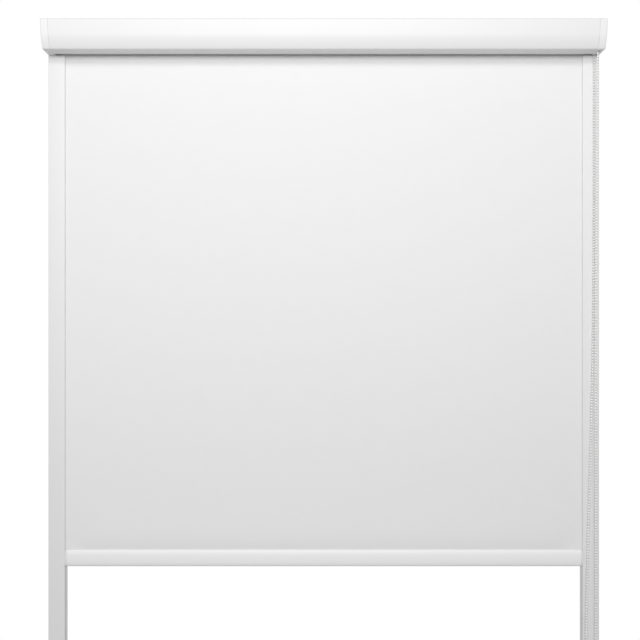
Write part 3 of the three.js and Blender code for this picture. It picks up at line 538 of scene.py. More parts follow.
def prism(
    name: str, loop: Array, levels: tuple[float, float], axis: int, edge: float = 0.0, steps: int = 3
) -> bpy.types.Object:
    """Runs a loop along an axis, with both ends eased by a small quarter round.

    Args:
        name: the piece's name.
        loop: anticlockwise points on the two other axes, in cyclic order after the axis.
        levels: where the prism starts and ends.
        axis: 0 for X, 1 for Y and 2 for Z.
        edge: the radius of the eased ends.
        steps: how many steps each quarter round has.

    Returns:
        The closed piece.
    """
    turn = np.linspace(0, np.pi / 2, steps + 1) if edge else np.array([0.0])
    shrink = edge * (1 - np.sin(turn))
    lift = edge * (1 - np.cos(turn))
    rows = [(s, levels[0] + z) for s, z in zip(shrink, lift)]
    rows += [(s, levels[1] - z) for s, z in zip(shrink[::-1], lift[::-1])]
    points = np.empty((len(rows), len(loop), 3))
    for row, (amount, level) in zip(points, rows):
        shape = inset(loop, amount) if amount else loop
        row[:, axis] = level
        row[:, (axis + 1) % 3] = shape[:, 0]
        row[:, (axis + 2) % 3] = shape[:, 1]
    return lofted(name, points)


def carved(piece: bpy.types.Object, cutter: bpy.types.Object) -> None:
    """Cuts a closed cutter out of a piece and deletes the cutter.

    Args:
        piece: the piece that is cut.
        cutter: the shape that comes out of it.
    """
    work = piece.modifiers.new("cut", "BOOLEAN")
    work.operation, work.solver, work.object = "DIFFERENCE", "EXACT", cutter
    settle(piece)
    bpy.data.objects.remove(cutter)


def settle(piece: bpy.types.Object) -> None:
    """Applies a piece's modifiers to its mesh.

    Args:
        piece: the piece, which gets a new mesh.
    """
    graph = bpy.context.evaluated_depsgraph_get()
    mesh = bpy.data.meshes.new_from_object(piece.evaluated_get(graph))
    piece.modifiers.clear()
    piece.data = mesh


def eased(node: str, edge: float, angle: float = 38.0) -> bpy.types.Object:
    """Copies a CAD node's mesh, makes its flat faces whole and rounds its sharp edges.

    Args:
        node: the CAD node that is copied.
        edge: the rounding's radius.
        angle: the smoothing limit in degrees.

    Returns:
        The piece that stands for the node.
    """
    mesh = frame["nodes"][node].data.copy()
    mesh.materials.clear()
    work = bmesh.new()
    work.from_mesh(mesh)
    bmesh.ops.remove_doubles(work, verts=work.verts, dist=MERGE)
    bmesh.ops.dissolve_limit(work, angle_limit=FLAT_WITHIN, verts=work.verts, edges=work.edges)
    work.to_mesh(mesh)
    work.free()
    piece = bpy.data.objects.new(f"{node}_finished", mesh)
    bpy.context.scene.collection.objects.link(piece)
    bevel = piece.modifiers.new("eased edges", "BEVEL")
    bevel.width, bevel.segments = edge, 2
    bevel.limit_method, bevel.angle_limit = "ANGLE", EASED_ABOVE
    settle(piece)
    smoothed(piece.data, angle)
    weighted = piece.modifiers.new("flat faces first", "WEIGHTED_NORMAL")
    weighted.keep_sharp = True
    settle(piece)
    return piece


def finished(
    piece: bpy.types.Object, finish: Finish, body: Body, replaced: tuple[str, ...] = ()
) -> bpy.types.Object:
    """Dresses a new piece, hangs it on its body and hides the CAD nodes that it stands for.

    Args:
        piece: the new piece.
        finish: its finish.
        body: the body that it rides on.
        replaced: the CAD nodes that it replaces.

    Returns:
        The same piece.
    """
    piece.data.materials.clear()
    piece.data.materials.append(finish.make())
    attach(piece, body.value)
    if replaced:
        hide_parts(*replaced)
    log.info("%s: %d faces", piece.name, len(piece.data.polygons))
    return piece


def dress(node: str, finish: Finish) -> None:
    """Gives a CAD node that stays a finish of its own.

    Args:
        node: the node's name.
        finish: its finish.
    """
    mesh = frame["nodes"][node].data
    mesh.materials.clear()
    mesh.materials.append(finish.make())
    log.info("%s keeps its solid in %s", node, finish.title)


# Sub-assemblies


@dataclass
class Cassette:
    """The closed box at the top: front cover, wall profile, end caps, screws and clips."""

    depth: float = 70.0 * MM
    wall: float = 1.6 * MM
    corner_radius: float = 4.0 * MM
    shoulder_drop_share: float = 0.53
    shoulder_back_share: float = 0.07
    knee_drop_share: float = 0.96
    knee_back_share: float = 0.201
    toe_back_share: float = 0.22
    heel_back_share: float = 0.26
    shoulder_pull_share: float = 0.25
    knee_pull_share: float = 0.33
    lip_return: float = 4.0 * MM
    lip_corner: float = 2.6 * MM
    slot_front_room: float = 10.0 * MM
    rear_edge: float = 24.3 * MM
    hook_overlap: float = 8.0 * MM
    gap: float = 0.3 * MM
    cap_wall: float = 2.0 * MM
    cap_plate: float = 3.0 * MM
    cap_edge: float = 2.2 * MM
    recess_radius: float = 3.5 * MM
    recess_depth: float = 2.5 * MM
    recess_sides: int = 48
    exit_width: float = 8.5 * MM
    exit_depth: float = 7.0 * MM
    exit_rounding_share: float = 1 / 3
    bead_room: float = 2.55 * MM
    clip_edge: float = 0.25 * MM
    steps: int = 28
    cap_edge_steps: int = 6
    exit_steps: int = 6
    cap_smoothing: float = 34.0

    def __post_init__(self) -> None:
        """Takes the outer sizes from the frame."""
        self.shell = span_of("front_cover")
        self.top, self.bottom = self.shell.high[2], self.shell.low[2]
        self.front = -self.depth
        self.slot_front = span_of("fabric_panel").centre[1] - self.slot_front_room

    def line(self, top_from: float, bottom_to: float) -> Array:
        """Draws the side view from the top, round the front, to the underside.

        A circular corner leads into a straight leaning face, a cubic curve turns in below it to
        the knee, and a quadratic one rounds the knee to the flat underside.

        Args:
            top_from: where the top starts, as a place on Y.
            bottom_to: where the underside ends, as a place on Y.

        Returns:
            Points (y, z), anticlockwise as seen from the right.
        """
        shoulder = self.placed(self.shoulder_back_share, self.shoulder_drop_share)
        knee = self.placed(self.knee_back_share, self.knee_drop_share)
        toe, heel = self.placed(self.toe_back_share, 1.0), self.placed(self.heel_back_share, 1.0)
        lean = shoulder - self.placed(0.0, 0.0)
        lean /= np.linalg.norm(lean)
        knee_lean = (toe - knee) / np.linalg.norm(toe - knee)
        leg = self.corner_radius / math.tan(math.acos(lean[0]) / 2)
        end = math.pi + math.atan2(lean[0], -lean[1])
        centre = (self.front + leg, self.top - self.corner_radius)
        corner = arc(centre, self.corner_radius, math.pi / 2, end, self.steps // 2)
        reach = np.linalg.norm(knee - shoulder)
        leaving = shoulder + lean * self.shoulder_pull_share * reach
        arriving = knee - knee_lean * self.knee_pull_share * reach
        below = bezier(shoulder, leaving, arriving, knee, self.steps)
        # These pulls make the cubic curve the quadratic one from knee to heel with its corner at the toe
        pulls = knee + (toe - knee) * 2 / 3, heel + (toe - heel) * 2 / 3
        under = bezier(knee, *pulls, heel, self.steps // 3)
        first, last = np.array([[top_from, self.top]]), np.array([[bottom_to, self.bottom]])
        return np.concatenate([first, corner, below, under[1:], last])

    def placed(self, back_share: float, drop_share: float) -> Array:
        """A point (y, z) by its shares of the cassette's depth and height."""
        return np.array([self.front * (1 - back_share), self.top - drop_share * (self.top - self.bottom)])

    def cover(self) -> bpy.types.Object:
        """Makes the curved front cover as one extruded section, hook tongue and lip included.

        Returns:
            The cover.
        """
        rear = -self.rear_edge
        turn = (self.slot_front - self.lip_corner, self.bottom + self.lip_corner)
        roll = arc(turn, self.lip_corner, -math.pi / 2, 0, self.steps // 3)
        outer = np.concatenate([self.line(rear, turn[0])[:-1], roll])
        inner = inset(self.line(rear - self.wall, self.slot_front - self.wall), self.wall)[1:-1]
        under = self.top - self.wall
        tongue_top, tongue_low = under - self.gap, under - self.gap - self.wall
        lip_end = (self.slot_front - self.wall / 2, self.bottom + self.lip_return - self.wall / 2)
        lip = arc(lip_end, self.wall / 2, 0, math.pi, self.steps // 3)
        heel = [[self.slot_front - self.wall, self.bottom + self.wall]]
        tongue = [
            [rear - self.wall, under],
            [rear - self.wall, tongue_low],
            [rear + self.hook_overlap, tongue_low],
            [rear + self.hook_overlap, tongue_top],
            [rear, tongue_top],
        ]
        loop = np.concatenate([outer, lip, heel, inner[::-1], tongue])
        ends = (self.shell.low[0], self.shell.high[0])
        return prism("cassette_front_cover", loop, ends, 0)

    def cap(self, side: Side) -> bpy.types.Object:
        """Makes an end cap: a cup skinned from its inner plate, over its rim, to its rounded face.

        Args:
            side: the end that it closes.

        Returns:
            The cap, with its screw recesses and, on the right, the chain exits.
        """
        box = span_of(f"end_cap_{side.word}")
        outer_x = max(abs(box.low[0]), abs(box.high[0]))
        inner_x = min(abs(box.low[0]), abs(box.high[0]))
        outline = self.line(0.0, 0.0)
        hollow = inset(outline, self.cap_wall)
        turn = np.linspace(0, np.pi / 2, self.cap_edge_steps + 1)
        rows = [(hollow, outer_x - self.cap_plate), (hollow, inner_x + self.wall / 4)]
        rows += [(inset(outline, self.wall / 8), inner_x), (outline, inner_x + self.wall / 8)]
        for angle in turn:
            amount = self.cap_edge * (1 - math.cos(angle))
            shape = inset(outline, amount) if amount else outline
            rows.append((shape, outer_x - self.cap_edge * (1 - math.sin(angle))))
        points = np.empty((len(rows), len(outline), 3))
        for row, (shape, level) in zip(points, rows):
            row[:, 0] = side.value * level
            row[:, 1:] = shape
        piece = lofted(f"cassette_end_cap_{side.word}", points)
        for height in ("upper", "lower"):
            head = span_of(f"cap_screw_{side.word}_{height}").centre
            ends = [side.value * (outer_x + by) for by in (-self.recess_depth, self.cap_plate)]
            ring = arc((head[1], head[2]), self.recess_radius, 0, 2 * math.pi, self.recess_sides)[:-1]
            carved(piece, prism("recess", ring, (min(ends), max(ends)), 0))
        if side is Side.RIGHT:
            self.open_exits(piece)
        smoothed(piece.data, self.cap_smoothing)
        return piece

    def open_exits(self, cap: bpy.types.Object) -> None:
        """Cuts the two round-ended chain exits through the underside of the right cap.

        Args:
            cap: the right cap, which is cut in place.
        """
        wheel = pivot("chain_wheel_spin")
        left = wheel[0] - self.bead_room
        right = left + self.exit_width
        rounding = self.exit_depth * self.exit_rounding_share
        for sign in (-1, 1):
            y = wheel[1] + sign * WHEEL_RADIUS
            front, back = y - self.exit_depth / 2, y + self.exit_depth / 2
            corners = np.array([[left, front], [right, front], [right, back], [left, back]])
            loop = rounded_corners(corners, np.full(4, rounding), self.exit_steps)
            levels = (self.bottom - self.cap_plate, self.bottom + 2 * self.cap_wall)
            carved(cap, prism("exit", loop, levels, 2))

    def build(self) -> None:
        """Makes and dresses every piece of the cassette."""
        finished(self.cover(), POWDER_COAT, Body.FRAME, ("front_cover",))
        for side in Side:
            finished(self.cap(side), MOULDED_ABS, Body.FRAME, (f"end_cap_{side.word}",))
            for height in ("upper", "lower"):
                dress(f"cap_screw_{side.word}_{height}", ZINC_PLATE)
        dress("back_profile", POWDER_COAT)
        for place in ("left", "centre", "right"):
            node = f"mounting_clip_{place}"
            finished(eased(node, self.clip_edge), SPRING_STEEL, Body.FRAME, (node,))


@dataclass
class Roller:
    """The tube, the wound cloth on it, and the idle and drive ends."""

    cloth: float = 0.5 * MM
    air: float = 0.06 * MM
    steps_per_turn: int = 48
    idle_wire: float = 0.9 * MM
    idle_gap: float = 1.6 * MM
    wrap_wire: float = 1.0 * MM
    wrap_gap: float = 0.05 * MM
    wire_steps_per_turn: int = 20
    wire_sides: int = 8
    wire_smoothing: float = 50.0

    def wound_cloth(self) -> bpy.types.Object:
        """Makes the wound cloth as a spiral band: its radius grows by one thickness each turn.

        Returns:
            The roll, whose outer end lies where the hanging cloth leaves it.
        """
        box, turns = span_of("fabric_roll"), self.turns()
        outer = box.size[2] / 2
        turn = np.linspace(0, 2 * np.pi * turns, int(turns * self.steps_per_turn) + 1)
        radius = outer - self.cloth * turn / (2 * np.pi)
        directions = np.stack([np.cos(turn), np.sin(turn)], axis=1)
        outside = directions * radius[:, None]
        inside = directions * (radius - self.cloth + self.air)[:, None]
        loop = np.concatenate([outside, inside[::-1]]) + box.centre[1:]
        return prism("wound_cloth", loop, (box.low[0], box.high[0]), 0)

    def turns(self) -> float:
        """How often the cloth goes round: the roll's thickness less one cloth, over the cloth's."""
        roll, tube = span_of("fabric_roll").size[2] / 2, span_of("roller_tube").size[2] / 2
        return (roll - tube) / self.cloth - 1

    def spring(self, node: str, wire: float, gap: float) -> bpy.types.Object:
        """Winds a helix of round wire inside a sleeve's space, closed at both ends.

        The place along X grows with the turn, more slowly in the first and last turn, and the
        wire's ring stands square to the helix.

        Args:
            node: the sleeve that stands for the spring.
            wire: the wire's diameter.
            gap: the space between turns.

        Returns:
            The spring.
        """
        box = span_of(node)
        length, radius = box.size[0] - wire, box.size[2] / 2 - wire / 2
        turns = 2 + (length - 2 * wire) / (wire + gap)
        turn = np.linspace(0, 2 * np.pi * turns, int(turns * self.wire_steps_per_turn))
        pitch = np.where((turn < 2 * np.pi) | (turn > 2 * np.pi * (turns - 1)), wire, wire + gap)
        along = np.concatenate([[0], np.cumsum((pitch[1:] + pitch[:-1]) / 2)])
        along = box.low[0] + wire / 2 + along * length / along[-1]
        middle = np.stack([along, np.cos(turn) * radius, np.sin(turn) * radius], axis=1)
        middle[:, 1:] += box.centre[1:]
        outward = np.stack([0 * turn, np.cos(turn), np.sin(turn)], axis=1)
        side = np.array([[1.0, 0, 0]])
        ring = (2 * np.pi * np.arange(self.wire_sides) / self.wire_sides)[None, :, None]
        loops = middle[:, None] + wire / 2 * (np.cos(ring) * outward[:, None] + np.sin(ring) * side[:, None])
        return lofted(f"{node}_wound", loops, self.wire_smoothing)

    def build(self) -> None:
        """Makes the wound cloth and dresses the pieces that keep their solids."""
        cloth = finished(self.wound_cloth(), BLACKOUT_CLOTH, Body.ROLLER, ("fabric_roll",))
        dress("roller_tube", MILL_ALUMINIUM)
        for node in ("fabric_keder", "idle_plug", "spring_seat", "drive_sleeve", "clutch_core"):
            dress(node, GREY_NYLON)
        idle = self.spring("idle_spring", self.idle_wire, self.idle_gap)
        finished(idle, SPRING_STEEL, Body.ROLLER, ("idle_spring",))
        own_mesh(idle)
        wrap = self.spring("wrap_spring", self.wrap_wire, self.wrap_gap)
        finished(wrap, SPRING_STEEL, Body.FRAME, ("wrap_spring",))
        dress("sleeve_retainer", SPRING_STEEL)
        dress("idle_pin", ZINC_PLATE)
        for node in ("chain_wheel", "chain_guard"):
            dress(node, MOULDED_ABS)


@dataclass
class HangingCloth:
    """The cloth from the roll to the bottom bar, as two plies that part as the bar moves."""

    face_share: float = 0.6
    seam: float = 0.02 * MM
    tab: float = 559.7 * MM
    shoulder: float = 0.3 * MM
    columns: int = 90
    rows: int = 220
    waviness: float = 0.25 * MM
    # Each wave across the cloth: radians in a metre, its start in radians, and its share
    waves: tuple[tuple[float, float, float], ...] = ((9.1, 0.7, 1.0), (17.3, 2.0, 0.6))
    bow: float = 3.3 * MM
    bow_above_bar: float = 32.0 * MM
    bow_ends: tuple[float, float] = (495.0 * MM, 560.0 * MM)
    smoothing: float = 40.0

    def __post_init__(self) -> None:
        """Takes the cloth's place from the frame."""
        self.box = span_of("fabric_panel")
        self.shoulder_z = span_of("bottom_bar").high[2] + self.shoulder

    def ply(self, name: str, front: float, back: float, with_tab: bool) -> bpy.types.Object:
        """Makes one ply as a closed thin grid with the faintest long waves across it.

        The waves are the sum of two sines along X, faded by a half sine down the drop. The ply on
        the bar leaves it leaning forward and bends back above it, coming out through the face ply:
        its bow is r e^(1 - r), with r its height over the bow's own, and it dies out before the
        channels as t^2 (3 - 2 t), with t going from 1 to 0 between the bow's two ends.

        Args:
            name: the ply's name.
            front: the front face's distance in front of the cloth's middle.
            back: the back face's distance in front of the cloth's middle.
            with_tab: whether the ply goes on into the bar as a narrower tab.

        Returns:
            The ply.
        """
        top = self.box.high[2]
        down = np.linspace(top, self.shoulder_z, self.rows)
        half = np.full(self.rows, self.box.high[0])
        if with_tab:
            down = np.append(down, [self.shoulder_z, self.box.low[2]])
            half = np.append(half, [self.tab, self.tab])
        x = np.linspace(-1, 1, self.columns)[None] * half[:, None]
        z = np.repeat(down[:, None], self.columns, axis=1)
        fade = np.sin(np.pi * np.clip((top - z) / (top - self.shoulder_z), 0, 1))
        waves = sum(share * np.sin(rate * x + start) for rate, start, share in self.waves)
        wave = self.waviness * fade * waves / sum(share for _, _, share in self.waves)
        rise = np.clip(z - self.shoulder_z, 0, None) / self.bow_above_bar
        inner, outer = self.bow_ends
        across = np.clip((outer - np.abs(x)) / (outer - inner), 0, 1)
        bow = self.bow * with_tab * rise * np.exp(1 - rise) * across**2 * (3 - 2 * across)
        middle = self.box.centre[1] + wave - bow
        faces = [np.stack([x, middle - depth, z], axis=-1) for depth in (front, back)]
        return lofted(name, np.concatenate([faces[0], faces[1][:, ::-1]], axis=1), self.smoothing)

    def build(self) -> None:
        """Makes both plies and hangs the face ply on the frame and the back ply on the bar.

        Together they span the drop wherever the bar is.
        """
        half = self.box.size[1] / 2
        seam = half * (1 - 2 * self.face_share)
        middle, top, low = float(self.box.centre[1]), float(self.box.high[2]), float(self.box.low[2])
        face = self.ply("hanging_cloth_face", half, seam + self.seam / 2, False)
        back = self.ply("hanging_cloth_back", seam - self.seam / 2, -half, True)
        for ply, body, fixed, end in (
            (face, Body.FRAME, top, float(self.shoulder_z)),
            (back, Body.BAR, low, top),
        ):
            finished(ply, BLACKOUT_CLOTH, body, ("fabric_panel",) if ply is face else ())
            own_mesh(ply)


@dataclass
class BottomBar:
    """The oval bar with its slot, its locking strip and its two caps."""

    roundness: float = 2.5
    wall: float = 1.4 * MM
    slot: float = 1.6 * MM
    lip: float = 0.25 * MM
    chamber_radius: float = 2.7 * MM
    chamber_depth: float = 9.0 * MM
    cap_edge: float = 0.35 * MM
    steps: int = 120
    chamber_steps: int = 32

    def oval(self, box: Span) -> Array:
        """Draws the bar's outline, anticlockwise from just left of the top.

        Each point is a cos(t)^(2/n), b sin(t)^(2/n) with the signs kept, and n the roundness.

        Args:
            box: the bar's box.

        Returns:
            Points (y, z) about the box's middle.
        """
        a, b = box.size[1] / 2, box.size[2] / 2
        turn = np.linspace(0, 2 * np.pi, self.steps, endpoint=False) + np.pi / 2 + np.pi / self.steps
        c, s = np.cos(turn), np.sin(turn)
        power = 2 / self.roundness
        return np.stack([a * np.sign(c) * np.abs(c) ** power, b * np.sign(s) * np.abs(s) ** power], axis=1)

    def section(self, box: Span) -> Array:
        """Draws the bar's section: its outline, then down the slot and round the chamber.

        Args:
            box: the bar's box.

        Returns:
            Points (y, z), anticlockwise as seen from the right.
        """
        b, oval = box.size[2] / 2, self.oval(box)
        half, rim = self.slot / 2, b - self.lip
        oval = oval[(np.abs(oval[:, 0]) > half + 2 * self.lip) | (oval[:, 1] < 0)]
        lean = math.asin(half / self.chamber_radius)
        level = b - self.chamber_depth
        start, end = math.pi / 2 - lean, lean - 3 * math.pi / 2
        chamber = arc((0, level), self.chamber_radius, start, end, self.chamber_steps)
        left = [[-half, rim], [-half - self.lip, b - self.lip / 8]]
        right = [[half + self.lip, b - self.lip / 8], [half, rim]]
        return np.concatenate([left, oval, right, chamber]) + box.centre[1:]

    def hollow(self, box: Span) -> Array:
        """Draws the hollow below the chamber: the oval a wall thickness in, cut off by the web.

        Args:
            box: the bar's box.

        Returns:
            Points (y, z), anticlockwise as seen from the right.
        """
        oval = inset(self.oval(box), self.wall)
        web = box.size[2] / 2 - self.chamber_depth - self.chamber_radius - self.wall
        return oval[oval[:, 1] < web] + box.centre[1:]

    def build(self) -> None:
        """Makes the bar and its caps and dresses the locking strip."""
        box = span_of("bottom_bar")
        ends, past = (box.low[0], box.high[0]), (box.low[0] - self.wall, box.high[0] + self.wall)
        bar = prism("bottom_bar_section", self.section(box), ends, 0)
        carved(bar, prism("hollow", self.hollow(box), past, 0))
        finished(bar, BAR_COAT, Body.BAR, ("bottom_bar",))
        dress("bar_keder", GREY_NYLON)
        for side in Side:
            node = f"bar_cap_{side.word}"
            finished(eased(node, self.cap_edge), MOULDED_ABS, Body.BAR, (node,))


@dataclass
class SideChannels:
    """Two channels: wall-fixed bases, snap-on covers, piles and feet."""

    wall: float = 1.5 * MM
    corner: float = 1.3 * MM
    web_outer: float = 23.5 * MM
    leg: float = 1.2 * MM
    leg_depth: float = 4.5 * MM
    gap: float = 0.3 * MM
    tuft_pitch: float = 1.1 * MM
    tuft_relief: float = 0.45 * MM
    tuft_smoothing: float = 60.0
    foot_edge: float = 0.4 * MM
    corner_steps: int = 5
    # The section's two front corners have the whole rounding and the others a share of it
    front_corners: tuple[int, int] = (1, 2)
    other_corner_share: float = 0.2

    def cover(self, side: Side) -> bpy.types.Object:
        """Makes a cover from its plan section: a face, an outer side, a lip and the gripping leg.

        Args:
            side: the channel's side.

        Returns:
            The cover.
        """
        box = span_of(f"channel_cover_{side.word}")
        width, front, wall = box.size[0], -box.low[1], self.wall
        under, leg = front - wall, self.web_outer + self.gap
        plan = np.array(
            [
                [0, under - wall / 2],
                [0, front],
                [width, front],
                [width, -box.high[1]],
                [width - wall, -box.high[1]],
                [width - wall, under],
                [leg + self.leg, under],
                [leg + self.leg, under - self.leg_depth],
                [leg, under - self.leg_depth],
                [leg, under],
                [wall, under],
                [wall, under - wall / 2],
            ]
        )
        shares = np.full(len(plan), self.other_corner_share)
        shares[list(self.front_corners)] = 1.0
        loop = rounded_corners(plan, shares * self.corner, self.corner_steps)
        inner = box.low[0] if side is Side.RIGHT else box.high[0]
        placed = np.stack([inner + side.value * loop[:, 0], -loop[:, 1]], axis=1)
        return prism(f"channel_cover_{side.word}_finished", placed, (box.low[2], box.high[2]), 2)

    def pile(self, node: str, towards: int) -> bpy.types.Object:
        """Makes a brush strip whose face is a grid of tuft tips, each cut a little short.

        A tip's depth is a random number between 0 and the relief. The generator is seeded from the
        strip's name and side, so the numbers are the same at every run.

        Args:
            node: the CAD node of the strip.
            towards: 1 if the tips point to the room and -1 if they point to the wall.

        Returns:
            The strip.
        """
        box = span_of(node)
        rows = int(box.size[2] / self.tuft_pitch)
        columns = int(box.size[0] / self.tuft_pitch) + 1
        across, up = (np.linspace(box.low[i], box.high[i], n) for i, n in ((0, columns), (2, rows)))
        x, z = np.meshgrid(across, up)
        random = np.random.default_rng(len(node) + towards)
        short = self.tuft_relief * random.random(x.shape)
        tip, root = (box.low[1], box.high[1]) if towards > 0 else (box.high[1], box.low[1])
        tips = np.stack([x, tip + towards * short, z], axis=-1)
        roots = np.stack([x, np.full_like(x, root), z], axis=-1)
        return lofted(f"{node}_tufts", np.concatenate([tips, roots[:, ::-1]], axis=1), self.tuft_smoothing)

    def build(self) -> None:
        """Makes and dresses both channels."""
        for side in Side:
            word = side.word
            cover = self.cover(side)
            finished(cover, CHANNEL_COAT, Body.FRAME, (f"channel_cover_{word}",))
            dress(f"channel_base_{word}", CHANNEL_COAT)
            for node, towards in ((f"front_pile_{word}", -1), (f"back_pile_{word}", 1)):
                finished(self.pile(node, towards), BRUSH_PILE, Body.FRAME, (node,))
            foot = f"channel_foot_{word}"
            finished(eased(foot, self.foot_edge), MOULDED_ABS, Body.FRAME, (foot,))


@dataclass
class BeadChain:
    """The endless chain: moulded beads on a cord, over the wheel and round the tensioner."""

    bead: float = 4.5 * MM
    cord: float = 1.8 * MM
    pulley_radius: float = 10.0 * MM
    half_turn_steps: int = 12
    smoothing: float = 60.0
    # The lower half of the joiner's outline, as shares of its radius and of half its length
    joiner_shares: tuple[tuple[float, float], ...] = ((0.9, 1.0), (1.0, 0.9), (1.0, 0.2), (0.88, 0.08))
    joiner_play: float = 0.1 * MM
    joiner_steps: int = 32
    # Each row is the share of the drop and the sideways share of the drop, as in the solids
    back_sways: tuple[tuple[float, float], ...] = (
        (0.07, 0.001),
        (0.24, 0.0029),
        (0.4, 0.0043),
        (0.48, 0.0043),
        (0.56, 0.0036),
        (0.64, 0.0026),
        (0.72, 0.0013),
        (0.8, 0.0001),
        (0.88, -0.0007),
        (0.94, -0.0006),
    )
    front_sways: tuple[tuple[float, float], ...] = (
        (0.9, 0.0003),
        (0.78, 0.0001),
        (0.61, -0.0007),
        (0.44, -0.0011),
        (0.24, -0.0006),
        (0.05, 0.0),
    )

    def corners(self) -> Array:
        """Lists the route's points: over the wheel, down, round the pulley and up again.

        Returns:
            Points of the closed route.
        """
        wheel, pulley = pivot("chain_wheel_spin"), pivot("tensioner_pulley_spin")
        share = np.arange(self.half_turn_steps + 1) / self.half_turn_steps
        turn = np.pi * (1 - share)
        y, z = wheel[1] + WHEEL_RADIUS * np.cos(turn), WHEEL_RADIUS * np.sin(turn)
        over = np.stack([np.full_like(y, wheel[0]), y, z], axis=1)
        turn = np.pi * (1 + share)
        x, z = pulley[0] + self.pulley_radius * np.cos(turn), pulley[2] + self.pulley_radius * np.sin(turn)
        under = np.stack([x, np.full_like(x, pulley[1]), z], axis=1)
        down = self.strand(over[-1], under[0], self.back_sways, -pulley[2])
        up = self.strand(over[0], under[-1], self.front_sways, -pulley[2])
        return np.concatenate([over, down, under, up])

    @staticmethod
    def strand(top: Array, foot: Array, sways: tuple[tuple[float, float], ...], drop: float) -> Array:
        """Places a strand's points at their shares, moved sideways by their sways.

        Args:
            top: where the strand leaves the wheel.
            foot: where it meets the pulley.
            sways: rows of the share of the way down and the sideways share of the drop.
            drop: the drop from the wheel to the pulley.

        Returns:
            The strand's points from top to foot.
        """
        table = np.array(sways)
        points = top + (foot - top) * table[:, :1]
        points[:, 0] += table[:, 1] * drop
        return points

    def route(self, steps: int = 12) -> Array:
        """Runs a smooth closed curve through the corners.

        Each span is a cubic whose end slopes are those of the neighbouring points, by distance.

        Args:
            steps: points on each span.

        Returns:
            Close points along the route.
        """
        points = self.corners()
        chord = np.linalg.norm(np.roll(points, -1, axis=0) - points, axis=1)
        back = np.roll(chord, 1)
        slope = (np.roll(points, -1, axis=0) - np.roll(points, 1, axis=0)) / (chord + back)[:, None]
        t = np.linspace(0, 1, steps, endpoint=False)[None, :, None]
        start, end = points[:, None], np.roll(points, -1, axis=0)[:, None]
        leave = (slope * chord[:, None])[:, None]
        arrive = (np.roll(slope, -1, axis=0) * chord[:, None])[:, None]
        curve = (2 * t**3 - 3 * t**2 + 1) * start + (t**3 - 2 * t**2 + t) * leave
        curve = curve + (3 * t**2 - 2 * t**3) * end + (t**3 - t**2) * arrive
        return curve.reshape(-1, 3)

    @staticmethod
    def spaced(route: Array, pitch: float) -> tuple[Array, Array]:
        """Places points along a closed route at an even pitch.

        Args:
            route: the route's points.
            pitch: the distance wanted between points.

        Returns:
            The points, and the unit direction of the route at each.
        """
        closed = np.concatenate([route, route[:1]])
        along = np.concatenate([[0], np.cumsum(np.linalg.norm(np.diff(closed, axis=0), axis=1))])
        count = round(along[-1] / pitch)
        wanted = np.arange(count) * along[-1] / count
        places = np.stack([np.interp(wanted, along, closed[:, i]) for i in range(3)], axis=1)
        ahead = np.roll(places, -1, axis=0) - np.roll(places, 1, axis=0)
        return places, ahead / np.linalg.norm(ahead, axis=1, keepdims=True)

    def bead_shape(self, rings: int = 5, around: int = 9) -> tuple[Array, list[Corners]]:
        """Makes one bead: a sphere of a few rings with a pole at each end.

        Args:
            rings: rings between the poles.
            around: points on each ring.

        Returns:
            Its points, and its four-sided and three-sided faces.
        """
        tilt = (np.pi * (np.arange(rings) + 1) / (rings + 1))[:, None]
        turn = (2 * np.pi * np.arange(around) / around)[None]
        x, y, z = np.sin(tilt) * np.cos(turn), np.sin(tilt) * np.sin(turn), np.cos(tilt) + 0 * turn
        grid = np.stack([x, y, z], axis=-1)
        poles = np.array([[0, 0, 1.0], [0, 0, -1.0]])
        points = np.concatenate([grid.reshape(-1, 3), poles]) * self.bead / 2
        ring = np.arange(around)
        last = (rings - 1) * around
        top = np.stack([ring, np.roll(ring, -1), np.full(around, rings * around)], axis=1)
        low = np.stack([last + np.roll(ring, -1), last + ring, np.full(around, rings * around + 1)], axis=1)
        return points, [grid_faces(rings, around, False), np.concatenate([top, low])]

    def cord_tube(self, route: Array, sides: int = 6) -> bpy.types.Object:
        """Makes the cord: a ring square to the route at every half bead pitch.

        Args:
            route: the route's points.
            sides: points on each ring.

        Returns:
            The closed tube.
        """
        places, ahead = self.spaced(route, BEAD_PITCH / 2)
        across, over = frames(ahead)
        turn = (2 * np.pi * np.arange(sides) / sides)[None, :, None]
        outward = np.cos(turn) * across[:, None] + np.sin(turn) * over[:, None]
        rings = places[:, None] + self.cord / 2 * outward
        return made("bead_chain_cord", rings, grid_faces(len(places), sides, True).tolist(), self.smoothing)

    def joiner(self, route: Array) -> bpy.types.Object:
        """Makes the joiner: a turned sleeve with a waist, on the chain where its solid is.

        Args:
            route: the route's points.

        Returns:
            The joiner, turned to the chain's direction there.
        """
        box = span_of("chain_joiner")
        centre, radius = box.centre, box.size[0] / 2
        nearest = int(np.argmin(np.linalg.norm(route - centre, axis=1)))
        ahead = route[(nearest + 1) % len(route)] - route[nearest]
        ahead /= np.linalg.norm(ahead)
        half, bore = box.size[2] / 2, self.bead / 2 + self.joiner_play
        lower = np.array(self.joiner_shares) * (radius, -half)
        upper = lower[::-1] * (1, -1)
        profile = np.concatenate([[[bore, -half]], lower, upper, [[bore, half]]])
        piece = ringed("chain_joiner_sleeve", profile, np.zeros(3), 2, self.joiner_steps)
        turn = Vector((0, 0, 1)).rotation_difference(Vector(ahead)).to_matrix().to_4x4()
        piece.data.transform(Matrix.Translation(Vector(centre)) @ turn)
        return piece

